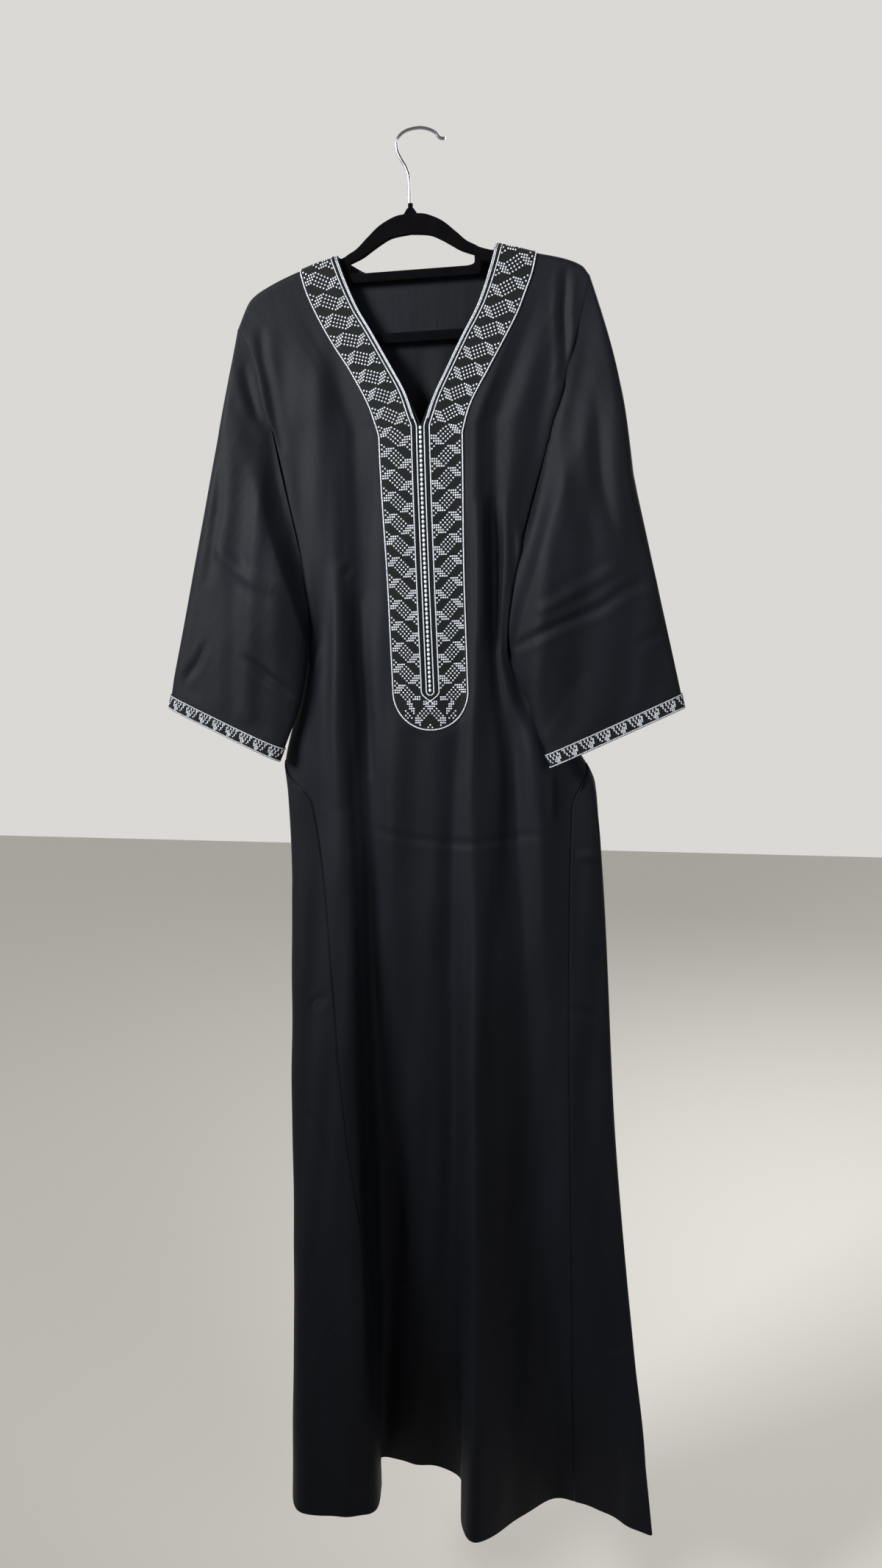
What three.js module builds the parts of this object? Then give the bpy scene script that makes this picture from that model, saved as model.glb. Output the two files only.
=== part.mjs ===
// A long thobe with a V neck, a long embroidered placket and wide three-quarter sleeves, hung on a flocked
// hanger with a wire hook.
//
// Units are millimetres. The origin is the hook's seat, the inside top of its arc, where a rail would pass
// along Y. +Z is up, the front of the cloth faces -Y and +X is on the viewer's right. "Drop" is the distance
// below the seat, so z = -drop. Left and right are the viewer's.

import * as THREE from 'three';

// ---------------------------------------------------------------------------------------------------------
// Driving dimensions
// ---------------------------------------------------------------------------------------------------------

const WALL = 2;                 // cloth, turned edges included
const SEAM_GAP = 0.3;           // between two pieces that are sewn together
const YOKE_DEPTH = 8;           // from the hanger's middle plane to the cloth's outer face over the arms
const YOKE_ROUND = 7;           // height over which the cloth turns over the arms to the shoulder seam

const CHEST_DROP = 335;         // bottom of the V
const UNDERARM_DROP = { left: 569, right: 602 };
const ARMHOLE_TURN = 40;        // height over which the armhole rounds under the arm
const GORE_TOP = 742;           // the gores' points, on the side edges
const FOLDS_START = 170;        // the chest's folds begin to show here, below the flat yoke

const SLIT_END_DROP = 653;      // lower end of the placket's slit, and the centre of its round end
const PLACKET_HALF = 46;        // slit to the band's outer edge

const CUFF_BAND = 18;           // width of the embroidered band round a sleeve's end
const BAND_LIFT = 0.6;          // under the neck band, which bridges the facets below it
const BAND_THICK = 1.0;

const HANGER_X = -12;           // the hanger's middle
const HANGER_HALF = 182;
const HANGER_THICK = 6;
const WIRE = 3.6;               // hook wire diameter

// The shoulder line, the cloth's outer top edge: x against drop. It runs on over the neck opening.
const SHOULDER = {
  x: [-231, -213, -194, -149, -101, -6, 90, 135, 171, 190, 198],
  drop: [208, 175, 163, 146, 133.5, 130, 133.5, 145.5, 155, 164, 174],
};

// Armhole seams above the chest, and the front neck edges: x against drop.
const ARMHOLE = {
  left: { drop: [208, 241, 297, 335], x: [-231, -213, -201, -190] },
  right: { drop: [174, 209, 269, 303, 335], x: [198, 191, 175, 166, 156] },
};
const NECK = {
  left: { drop: [133.5, 166, 195, 222, 257, 296, 335], x: [-101, -89, -76, -60, -40, -18, -1] },
  right: { drop: [133.5, 154, 181, 201, 236, 277, 312, 335], x: [90, 84, 75, 67, 48, 27, 9, -1] },
};
const BACK_NECK = { x: [-101, -60, -6, 50, 90], drop: [133.5, 155, 161, 155, 133.5] };

// The body's folds, once round from the left side over the front to the right side and back behind. Each row
// gives where the fold lies at five drops.
const FOLD_DROPS = [335, 600, 775, 1235, 1740];     // chest, bust, waist, knee, hem
const FOLDS = [
  { name: 'left side front', side: 1, x: [-190, -147, -184, -182, -174], y: [-9, -10, -8, -46, -117] },
  { name: 'left flank', side: 0.6, x: [-162, -134, -150, -140, -122], y: [-12, -15, -18, -58, -114] },
  { name: 'left ridge', x: [-112, -114, -106, -98, -76], y: [-17, -24, -30, -60, -102] },
  { name: 'left return', x: [-98, -98, -93, -86, -77], y: [-15, -18, -21, -36, -52] },
  { name: 'left valley', x: [-84, -82, -80, -76, -90], y: [-12, -11, -12, -14, -6] },
  { name: 'recess left', x: [-52, -50, -46, -32, -36], y: [-17, -19, -23, -19, -6] },
  { name: 'middle', x: [-1, 4, 9, 0, -4], y: [-18, -21, -28, -22, -6] },
  { name: 'recess right', x: [46, 48, 32, 26, 26], y: [-17, -19, -24, -22, -20] },
  { name: 'centre left', x: [58, 57, 46, 46, 44], y: [-18, -22, -28, -54, -103] },
  { name: 'centre ridge', x: [68, 65, 60, 63, 64], y: [-19, -24, -33, -68, -124] },
  { name: 'centre crease', x: [77, 77, 87, 90, 99], y: [-15, -18, -24, -50, -98] },
  { name: 'right valley', x: [87, 86, 108, 128, 157], y: [-12, -11, -12, -28, -34] },
  { name: 'right ridge', x: [112, 92, 140, 160, 192], y: [-16, -14, -23, -37, -36] },
  { name: 'right flank', x: [136, 97, 174, 204, 244], y: [-12, -12, -14, -40, -56] },
  { name: 'right side front', x: [156, 101, 205, 236, 288], y: [-9, -10, -8, -42, -74] },
  { name: 'right side back', x: [156, 102, 206, 234, 282], y: [8, 6, 4, -22, -56] },
  { name: 'right flank back', x: [135, 92, 182, 205, 232], y: [10, 10, 9, 5, 2] },
  { name: 'back right ridge', x: [105, 70, 125, 135, 150], y: [11, 12, 11, 10, 12] },
  { name: 'back right valley', x: [60, 45, 75, 80, 85], y: [9, 10, 8, 5, 4] },
  { name: 'back middle', x: [0, 0, 5, 10, 10], y: [11, 12, 12, 11, 13] },
  { name: 'back left valley', x: [-60, -50, -55, -55, -60], y: [9, 9, 8, 7, 9] },
  { name: 'back left ridge', x: [-120, -95, -120, -130, -140], y: [11, 12, 11, 12, 14] },
  { name: 'left flank back', side: 0.6, x: [-165, -132, -166, -182, -196], y: [10, 10, 9, 2, -30] },
  { name: 'left side back', side: 1, x: [-190, -148, -186, -191, -190], y: [8, 6, 4, -30, -98] },
];
// How far the left side stands out behind the sleeve. A fold's side is the share of it that the fold takes.
const SIDE_OUT = { drop: [569, 620, 680, 735, 785, 900], out: [0, 6, 9, 9, 4, 0] };
const FRONT_LEFT = 0;           // fold numbers where the front and the back end at the armholes
const FRONT_RIGHT = 14;
const BACK_RIGHT = 15;
const BACK_LEFT = 23;
const MIDDLE = 6;

// Gore seams below the gore tops: fold number against drop. The left front seam crosses the left ridge.
const SEAMS = {
  frontLeft: { drop: [742, 765, 800, 1235, 1500, 1740], fold: [-0.5, 0.3, 1, 1.7, 2.8, 4] },
  frontRight: { drop: [742, 765, 800, 971, 1235, 1740], fold: [14.5, 13.6, 13.1, 12.7, 12.45, 11.8] },
  backRight: { drop: [742, 800, 1235, 1740], fold: [14.5, 15, 15.7, 16.2] },
  backLeft: { drop: [742, 800, 1235, 1740], fold: [23.5, 23, 22.3, 21.8] },
};

// Sleeve ends: the corners of the flattened cuff, and how far each side of the sleeve stands forward there.
// headRound swells the sleeve's upper edge outwards, underRound its lower edge over the body, and swells is the
// share of the length in which they come and go.
const SLEEVES = {
  left: {
    cuffInner: [-191, 741], cuffOuter: [-345, 674], innerY: -30, outerY: -12, headRound: 0, underRound: 11, swells: 1,
  },
  right: {
    cuffInner: [156, 745], cuffOuter: [313, 674], innerY: -34, outerY: -14, headRound: 8, underRound: 5, swells: 0.45,
  },
};
const ARMHOLE_SHIFT = 0.4;      // sideways, leaves about a seam gap
const SLEEVE_HALF = { armhole: 9, middle: 13, cuff: 9 };    // half the sleeve's depth
const SLEEVE_BULGE = 12;        // the front of the sleeve rolls forward over the armhole's lower half
const BULGE_SHARE = 0.22;       // where that is on the way from the underarm to the shoulder, and how far it spreads
const SLEEVE_SPREAD = 0.3;      // share of the length in which the armhole's points spread out evenly
const SLEEVE_LEAVES = 0.22;     // share of the length in which the sleeve leaves the armhole's own depth

// Rows of the mesh. Cloth turns quickly at the shoulder seam and under the arm.
const CAP_ROWS = [0, 1.2, 4, 9];                            // below the shoulder line
const YOKE_ROWS = [0.18, 0.36, 0.54, 0.7, 0.85, 1];                   // from the last cap row to the chest
const CHEST_ROWS = [0.2, 0.4, 0.6, 0.78, 0.89, 0.965, 1];   // from the chest to the underarm
const LOWER_ROWS = [655, 705, 742, 745, 768, 805, 870, 970, 1095, 1235, 1350, 1450, 1550, 1650, 1740];
const SLEEVE_ROWS = [0.04, 0.1, 0.2, 0.32, 0.45, 0.58, 0.7, 0.82];
const FRONT_COLUMNS = [         // fixed folds with the number of columns up to the next one
  { fold: 5, before: 14 },      // from the left edge to the left side of the recess
  { fold: 11, before: 18 },     // to the right valley
  { before: 10 },               // to the right edge
];
const MIDDLE_COLUMN = 17;       // the column that runs down the middle fold
const BACK_COLUMNS = 20;
const BACK_NECK_COLUMNS = [5, 15];                          // columns that end at the back neck's corners
const GORE_COLUMNS = 18;

const COLOURS = {
  cloth: { color: 0x17181d, roughness: 0.62, metalness: 0 },
  embroidery: { color: 0x1b1d1c, roughness: 0.85, metalness: 0 },
  silver: { color: 0xc9cdd4, roughness: 0.45, metalness: 0.1 },
  flock: { color: 0x08080a, roughness: 0.95, metalness: 0 },
  chrome: { color: 0xd5d8dc, roughness: 0.15, metalness: 1 },
  lining: { color: 0x15161a, roughness: 0.8, metalness: 0 },
};

// ---------------------------------------------------------------------------------------------------------
// Small helpers
// ---------------------------------------------------------------------------------------------------------

const lerp = THREE.MathUtils.lerp;
const smooth = (value) => THREE.MathUtils.smoothstep(value, 0, 1);

// A monotone cubic through (at[i], value[i]), level outside its ends. It never overshoots a table's values.
function through(at, value) {
  const last = at.length - 1;
  const slope = [];
  for (let i = 0; i < last; i++) slope.push((value[i + 1] - value[i]) / (at[i + 1] - at[i]));
  const tangent = at.map((_, i) => {
    if (i === 0) return slope[0];
    if (i === last) return slope[last - 1];
    if (slope[i - 1] * slope[i] <= 0) return 0;
    return (2 * slope[i - 1] * slope[i]) / (slope[i - 1] + slope[i]);
  });
  return (x) => {
    if (x <= at[0]) return value[0];
    if (x >= at[last]) return value[last];
    let i = 0;
    while (x > at[i + 1]) i++;
    const span = at[i + 1] - at[i];
    const f = (x - at[i]) / span;
    const g = 1 - f;
    return value[i] * g * g * (1 + 2 * f) + value[i + 1] * f * f * (3 - 2 * f)
      + span * f * g * (tangent[i] * g - tangent[i + 1] * f);
  };
}

const shoulderDrop = through(SHOULDER.x, SHOULDER.drop);
const backNeckDrop = through(BACK_NECK.x, BACK_NECK.drop);
const throughBoth = ({ left, right }) => ({ left: through(left.drop, left.x), right: through(right.drop, right.x) });
const armholeX = throughBoth(ARMHOLE);
const neckX = throughBoth(NECK);
const seamFold = {};
for (const [name, seam] of Object.entries(SEAMS)) seamFold[name] = through(seam.drop, seam.fold);

// Cloth is a sheet of quads with an outer and an inner point at each corner. Edges that only one quad has are
// closed by a strip of wall, so the sheet becomes one closed body.
class Cloth {
  constructor() {
    this.outer = [];
    this.inner = [];
    this.places = [];           // fold number and drop of each corner on the body
    this.quads = [];
  }

  point(outer, inner, place = null) {
    this.outer.push(outer);
    this.inner.push(inner);
    this.places.push(place);
    return this.outer.length - 1;
  }

  // Corners run anticlockwise as seen from outside.
  quad(a, b, c, d) {
    this.quads.push([a, b, c, d]);
  }

  // A quad's corners, turned so that its diagonal lies nearer to the body's true surface.
  turned([a, b, c, d]) {
    const places = [a, b, c, d].map((i) => this.places[i]);
    if (places.includes(null)) return [a, b, c, d];
    const fold = (places[0][0] + places[1][0] + places[2][0] + places[3][0]) / 4;
    const drop = (places[0][1] + places[1][1] + places[2][1] + places[3][1]) / 4;
    const centre = bodyPoint(fold, drop);
    const off = (i, j) => this.outer[i].clone().add(this.outer[j]).multiplyScalar(0.5).distanceTo(centre);
    return off(a, c) <= off(b, d) ? [a, b, c, d] : [b, c, d, a];
  }

  geometry() {
    const count = this.outer.length;
    const positions = [...this.outer, ...this.inner].flatMap((p) => [p.x, p.y, p.z]);
    const index = [];
    const edges = new Map();
    for (const corners of this.quads) {
      const [a, b, c, d] = this.turned(corners);
      index.push(a, b, c, a, c, d);
      index.push(count + a, count + c, count + b, count + a, count + d, count + c);
      for (const [from, to] of [[a, b], [b, c], [c, d], [d, a]]) edges.set(`${from} ${to}`, [from, to]);
    }
    for (const [from, to] of edges.values()) {
      if (edges.has(`${to} ${from}`)) continue;
      // The strip's diagonal runs from the higher outer corner, so the two sides of a seam stay parallel.
      if (this.outer[to].z > this.outer[from].z) index.push(to, from, count + from, to, count + from, count + to);
      else index.push(to, from, count + to, from, count + from, count + to);
    }
    const geometry = new THREE.BufferGeometry();
    geometry.setAttribute('position', new THREE.Float32BufferAttribute(positions, 3));
    geometry.setIndex(index);
    geometry.computeVertexNormals();
    return geometry;
  }
}

const group = new THREE.Group();
group.name = 'thobe_on_hanger';

function addMesh(name, geometry, look) {
  const mesh = new THREE.Mesh(geometry, new THREE.MeshStandardMaterial(COLOURS[look]));
  mesh.name = name;
  group.add(mesh);
  return mesh;
}

// ---------------------------------------------------------------------------------------------------------
// The body's surface
// ---------------------------------------------------------------------------------------------------------

const sideOut = through(SIDE_OUT.drop, SIDE_OUT.out);
const foldX = FOLDS.map(({ x, side = 0 }) => {
  const along = through(FOLD_DROPS, x);
  return (drop) => along(drop) - side * sideOut(drop);
});
const foldY = FOLDS.map((fold) => through(FOLD_DROPS, fold.y));
const sectionCache = new Map();

// The closed section at one drop, a smooth curve through the folds.
function section(drop) {
  const key = drop.toFixed(4);
  if (!sectionCache.has(key)) {
    const points = FOLDS.map((_, i) => new THREE.Vector3(foldX[i](drop), foldY[i](drop), -drop));
    sectionCache.set(key, new THREE.CatmullRomCurve3(points, true, 'centripetal'));
  }
  return sectionCache.get(key);
}

// The body's outer point at a fold number and a drop.
function bodyPoint(fold, drop) {
  const turns = fold / FOLDS.length;
  return section(drop).getPoint(turns - Math.floor(turns));
}

function bodyNormal(fold, drop) {
  const step = 0.02;
  const reach = 2;
  const across = bodyPoint(fold + step, drop).sub(bodyPoint(fold - step, drop));
  const up = bodyPoint(fold, drop - reach).sub(bodyPoint(fold, drop + reach));
  return across.cross(up).normalize();
}

// Direction along the section, towards higher fold numbers.
function bodyAlong(fold, drop) {
  const step = 0.02;
  return bodyPoint(fold + step, drop).sub(bodyPoint(fold - step, drop)).normalize();
}

// The section's depth at x, between two fold numbers where x runs one way.
function sectionDepth(x, drop, fromFold, toFold) {
  const steps = 6 * Math.abs(toFold - fromFold);
  let before = bodyPoint(fromFold, drop);
  const rising = bodyPoint(toFold, drop).x > before.x ? 1 : -1;
  if ((x - before.x) * rising <= 0) return before.y;
  for (let i = 1; i <= steps; i++) {
    const after = bodyPoint(lerp(fromFold, toFold, i / steps), drop);
    if ((after.x - x) * rising >= 0) return lerp(before.y, after.y, (x - before.x) / (after.x - before.x));
    before = after;
  }
  return before.y;
}

// Where the thread through x and drop crosses the chest. The front's threads fan out beside the V.
function chestX(side, x, drop) {
  const arm = { left: armholeX.left(drop), right: armholeX.right(drop) };
  const foot = { left: FOLDS[FRONT_LEFT].x[0], right: FOLDS[FRONT_RIGHT].x[0] };
  if (side > 0) return lerp(foot.left, foot.right, (x - arm.left) / (arm.right - arm.left));
  const name = x < FOLDS[MIDDLE].x[0] ? 'left' : 'right';
  const f = (x - arm[name]) / (neckX[name](drop) - arm[name]);
  return lerp(foot[name], FOLDS[MIDDLE].x[0], Math.min(f, 1));
}

// Depth of the front (side -1) or the back (side +1) at x and drop. Above the chest the folds fade into a flat
// yoke, which turns over the hanger's arms at the shoulder line.
function clothDepth(side, x, drop) {
  const range = side < 0 ? [FRONT_LEFT, FRONT_RIGHT] : [BACK_LEFT, BACK_RIGHT];
  if (drop >= CHEST_DROP) return sectionDepth(x, drop, ...range);
  const folded = sectionDepth(chestX(side, x, drop), CHEST_DROP, ...range);
  const depth = lerp(side * YOKE_DEPTH, folded, smooth((drop - FOLDS_START) / (CHEST_DROP - FOLDS_START)));
  const below = THREE.MathUtils.clamp((drop - shoulderDrop(x)) / YOKE_ROUND, 0, 1);
  const turn = Math.sqrt(1 - (1 - below) ** 2);
  return lerp(side * SEAM_GAP / 2, depth, turn);
}

function clothNormal(side, x, drop) {
  if (drop - shoulderDrop(x) < 0.01) {
    const slope = (shoulderDrop(x + 1) - shoulderDrop(x - 1)) / 2;
    return new THREE.Vector3(slope, 0, 1).normalize();
  }
  const step = Math.min(0.5, (drop - shoulderDrop(x)) / 2);
  const alongX = (clothDepth(side, x + step, drop) - clothDepth(side, x - step, drop)) / (2 * step);
  const alongDrop = (clothDepth(side, x, drop + step) - clothDepth(side, x, drop - step)) / (2 * step);
  return new THREE.Vector3(-side * alongX, side, side * alongDrop).normalize();
}

// A point of the front or back cloth at x and drop, lifted off its face.
function onCloth(side, x, drop, lift = 0) {
  const point = new THREE.Vector3(x, clothDepth(side, x, drop), -drop);
  return point.addScaledVector(clothNormal(side, x, drop), lift);
}

// Fold number of the front's or back's edge near the armhole's lower end, where it turns to the side edge.
function edgeTurn(drop, underarm) {
  const f = THREE.MathUtils.clamp((drop - (underarm - ARMHOLE_TURN)) / ARMHOLE_TURN, 0, 1);
  return 0.5 * (1 - Math.sqrt(1 - f * f));
}

// Both edges of a panel at a drop below the chest, as fold numbers.
function frontEdges(dropLeft, dropRight) {
  let left = -edgeTurn(dropLeft, UNDERARM_DROP.left);
  let right = FRONT_RIGHT + edgeTurn(dropRight, UNDERARM_DROP.right);
  if (dropLeft > GORE_TOP) left = seamFold.frontLeft(dropLeft);
  if (dropRight > GORE_TOP) right = seamFold.frontRight(dropRight);
  return [left, right];
}

function backEdges(dropLeft, dropRight) {
  let left = BACK_LEFT + edgeTurn(dropLeft, UNDERARM_DROP.left);
  let right = BACK_RIGHT - edgeTurn(dropRight, UNDERARM_DROP.right);
  if (dropLeft > GORE_TOP) left = seamFold.backLeft(dropLeft);
  if (dropRight > GORE_TOP) right = seamFold.backRight(dropRight);
  return [left, right];
}

// Drops of a row below the chest at the left and right edges.
const LOWER = [
  ...CHEST_ROWS.map((f) => [lerp(CHEST_DROP, UNDERARM_DROP.left, f), lerp(CHEST_DROP, UNDERARM_DROP.right, f)]),
  ...LOWER_ROWS.map((drop) => [drop, drop]),
];

// A corner of body cloth. seam is +1 or -1 on a seam, where the cloth starts or stops half a gap along.
function addBodyPoint(cloth, fold, drop, seam = 0) {
  const outer = bodyPoint(fold, drop).addScaledVector(bodyAlong(fold, drop), seam * SEAM_GAP / 2);
  return cloth.point(outer, outer.clone().addScaledVector(bodyNormal(fold, drop), -WALL), [fold, drop]);
}

// A row of body cloth at the listed fold numbers, both ends on a seam unless the end is in an armhole.
function bodyRow(cloth, folds, drops) {
  const last = folds.length - 1;
  const direction = Math.sign(folds[last] - folds[0]);
  return folds.map((fold, k) => {
    let seam = 0;
    if (k === 0 && drops[0] >= UNDERARM_DROP.left) seam = direction;
    if (k === last && drops[1] >= UNDERARM_DROP.right) seam = -direction;
    return addBodyPoint(cloth, fold, lerp(drops[0], drops[1], k / last), seam);
  });
}

const evenly = (from, to, columns) => Array.from({ length: columns + 1 }, (_, k) => lerp(from, to, k / columns));

// Fold numbers of the front's columns. Only the outer ones move with the seams.
function frontFolds(left, right) {
  const folds = [left];
  for (const { fold = right, before } of FRONT_COLUMNS) folds.push(...evenly(folds.at(-1), fold, before).slice(1));
  return folds;
}

function addClothPoint(cloth, side, x, drop) {
  return cloth.point(onCloth(side, x, drop), onCloth(side, x, drop, -WALL));
}

// Rows of the yoke between an outer top corner and an inner one: drop of each row under one point of the top.
function yokeDrops(topDrop) {
  const lastCap = topDrop + CAP_ROWS[CAP_ROWS.length - 1];
  return [...CAP_ROWS.map((below) => topDrop + below), ...YOKE_ROWS.map((f) => lerp(lastCap, CHEST_DROP, f))];
}

function joinRows(cloth, upper, lower) {
  for (let k = 0; k + 1 < upper.length; k++) cloth.quad(upper[k], lower[k], lower[k + 1], upper[k + 1]);
}

// ---------------------------------------------------------------------------------------------------------
// Front and back panels
// ---------------------------------------------------------------------------------------------------------

function frontPanel() {
  const cloth = new Cloth();
  const chestFolds = frontFolds(FRONT_LEFT, FRONT_RIGHT);
  const columns = chestFolds.length - 1;
  const columnX = (k) => bodyPoint(chestFolds[k], CHEST_DROP).x;
  const chestRow = chestFolds.map((fold) => addBodyPoint(cloth, fold, CHEST_DROP));

  // The two shoulder parts, left and right of the V.
  for (const [name, first, last] of [['left', 0, MIDDLE_COLUMN], ['right', MIDDLE_COLUMN, columns]]) {
    const outerFirst = name === 'left';
    const tip = outerFirst ? SHOULDER.x[0] : SHOULDER.x.at(-1);
    const neck = NECK[name].x[0];
    const tipDrops = yokeDrops(shoulderDrop(tip));
    const neckDrops = yokeDrops(shoulderDrop(neck));
    let above = null;
    for (let r = 0; r < tipDrops.length; r++) {
      const row = [];
      for (let k = first; k <= last; k++) {
        const f = (columnX(k) - columnX(first)) / (columnX(last) - columnX(first));
        const toNeck = outerFirst ? f : 1 - f;
        if (r === tipDrops.length - 1) {
          row.push(chestRow[k]);
          continue;
        }
        const drops = yokeDrops(shoulderDrop(lerp(tip, neck, toNeck)));
        const x = lerp(armholeX[name](tipDrops[r]), neckX[name](neckDrops[r]), toNeck);
        row.push(addClothPoint(cloth, -1, x, Math.max(drops[r], shoulderDrop(x))));
      }
      if (above) joinRows(cloth, above, row);
      above = row;
    }
  }

  let above = chestRow;
  for (const drops of LOWER) {
    const row = bodyRow(cloth, frontFolds(...frontEdges(...drops)), drops);
    joinRows(cloth, above, row);
    above = row;
  }
  return cloth;
}

function backPanel() {
  const cloth = new Cloth();
  const [neckLeft, neckRight] = BACK_NECK_COLUMNS;
  const [tipLeft, tipRight] = [SHOULDER.x[0], SHOULDER.x.at(-1)];
  const [cornerLeft, cornerRight] = [NECK.left.x[0], NECK.right.x[0]];
  const topX = (k) => {
    if (k <= neckLeft) return lerp(tipLeft, cornerLeft, k / neckLeft);
    const across = (1 - Math.cos(Math.PI * (k - neckLeft) / (neckRight - neckLeft))) / 2;
    if (k <= neckRight) return lerp(cornerLeft, cornerRight, across);
    return lerp(cornerRight, tipRight, (k - neckRight) / (BACK_COLUMNS - neckRight));
  };
  const topDrop = (k) => (k > neckLeft && k < neckRight ? backNeckDrop(topX(k)) : shoulderDrop(topX(k)));
  const rows = yokeDrops(0).length;
  const edgeX = (name, r, tip) => armholeX[name](yokeDrops(shoulderDrop(tip))[r]);
  let above = null;
  for (let r = 0; r < rows; r++) {
    const row = [];
    for (let k = 0; k <= BACK_COLUMNS; k++) {
      const fold = lerp(BACK_LEFT, BACK_RIGHT, k / BACK_COLUMNS);
      if (r === rows - 1) {
        row.push(addBodyPoint(cloth, fold, CHEST_DROP));
        continue;
      }
      const drop = yokeDrops(topDrop(k))[r];
      const fade = (drop - topDrop(k)) / (CHEST_DROP - topDrop(k));
      let x = lerp(topX(k), bodyPoint(fold, CHEST_DROP).x, fade);
      if (k === 0) x = edgeX('left', r, tipLeft);
      if (k === BACK_COLUMNS) x = edgeX('right', r, tipRight);
      row.push(addClothPoint(cloth, 1, x, Math.max(drop, shoulderDrop(x))));
    }
    if (above) joinRows(cloth, row, above);
    above = row;
  }
  for (const drops of LOWER) {
    const row = bodyRow(cloth, evenly(...backEdges(...drops), BACK_COLUMNS), drops);
    joinRows(cloth, row, above);
    above = row;
  }
  return cloth;
}

// ---------------------------------------------------------------------------------------------------------
// Side gores and the pocket bags that hang behind them
// ---------------------------------------------------------------------------------------------------------

const GORES = {
  left: { from: seamFold.backLeft, to: seamFold.frontLeft, turn: -FOLDS.length },
  right: { from: seamFold.frontRight, to: seamFold.backRight, turn: 0 },
};

function gore(side) {
  const cloth = new Cloth();
  const { from, to, turn } = GORES[side];
  let above = null;
  for (const drop of LOWER_ROWS.filter((d) => d > GORE_TOP)) {
    const row = bodyRow(cloth, evenly(from(drop) + turn, to(drop), GORE_COLUMNS), [drop, drop]);
    if (above) joinRows(cloth, above, row);
    above = row;
  }
  return cloth;
}

const POCKET = { thick: 1.2, clear: 0.6, drops: [860, 900, 940, 990, 1040, 1070], columns: 4 };

// A flat bag against the inner face of the gore's front, from the seam towards the side edge.
function pocketBag(side) {
  const cloth = new Cloth();
  const { thick, clear, drops, columns } = POCKET;
  let above = null;
  for (const drop of drops) {
    const atSeam = side === 'left' ? seamFold.frontLeft(drop) : seamFold.frontRight(drop);
    const nearSide = side === 'left' ? FRONT_LEFT + 0.25 : FRONT_RIGHT - 0.25;
    const ends = side === 'left' ? [nearSide, atSeam - 0.06] : [atSeam + 0.06, nearSide];
    const row = [];
    for (let k = 0; k <= columns; k++) {
      const fold = lerp(ends[0], ends[1], k / columns);
      const face = bodyPoint(fold, drop);
      const normal = bodyNormal(fold, drop);
      const outer = face.clone().addScaledVector(normal, -(WALL + clear));
      row.push(cloth.point(outer, face.clone().addScaledVector(normal, -(WALL + clear + thick))));
    }
    if (above) joinRows(cloth, above, row);
    above = row;
  }
  return cloth;
}

// ---------------------------------------------------------------------------------------------------------
// Sleeves and cuff bands
// ---------------------------------------------------------------------------------------------------------

// The armhole's edge on the front or back panel, from the underarm up to the shoulder tip.
function armholeEdge(panel, name) {
  const outward = name === 'left' ? -1 : 1;
  const tip = name === 'left' ? SHOULDER.x[0] : SHOULDER.x.at(-1);
  const shift = new THREE.Vector3(outward * ARMHOLE_SHIFT, 0, 0);
  const points = [];
  const put = (outer, inner) => points.unshift({ outer: outer.add(shift), inner: inner.add(shift) });
  yokeDrops(shoulderDrop(tip)).slice(0, -1).forEach((drop) => {
    const x = armholeX[name](drop);
    put(onCloth(panel, x, drop), onCloth(panel, x, drop, -WALL));
  });
  const column = name === 'left' ? 0 : 1;
  const chest = panel < 0 ? [FRONT_LEFT, FRONT_RIGHT] : [BACK_LEFT, BACK_RIGHT];
  const putBody = (fold, drop) => {
    const outer = bodyPoint(fold, drop);
    put(outer, outer.clone().addScaledVector(bodyNormal(fold, drop), -WALL));
  };
  putBody(chest[column], CHEST_DROP);
  LOWER.slice(0, CHEST_ROWS.length).forEach((drops) => {
    const edges = panel < 0 ? frontEdges(...drops) : backEdges(...drops);
    putBody(edges[column], drops[column]);
  });
  return points;
}

// Share of the way from the underarm to the shoulder tip, at each point of an armhole edge.
function sharesAlong(edge) {
  const lengths = [0];
  for (let i = 1; i < edge.length; i++) lengths.push(lengths[i - 1] + edge[i].outer.distanceTo(edge[i - 1].outer));
  return lengths.map((length) => length / lengths.at(-1));
}

// The sleeve's depth must stay in front of the body where the two overlap.
function bodyLimit(name, x, drop) {
  const outward = name === 'left' ? -1 : 1;
  const edgeFold = name === 'left' ? FRONT_LEFT : FRONT_RIGHT;
  const edge = bodyPoint(edgeFold, drop);
  const past = (x - edge.x) * outward;
  const clear = 3;
  if (past > 0) return edge.y - clear + past * 0.9;
  return sectionDepth(x, drop, FRONT_LEFT, FRONT_RIGHT) - clear;
}

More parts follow.
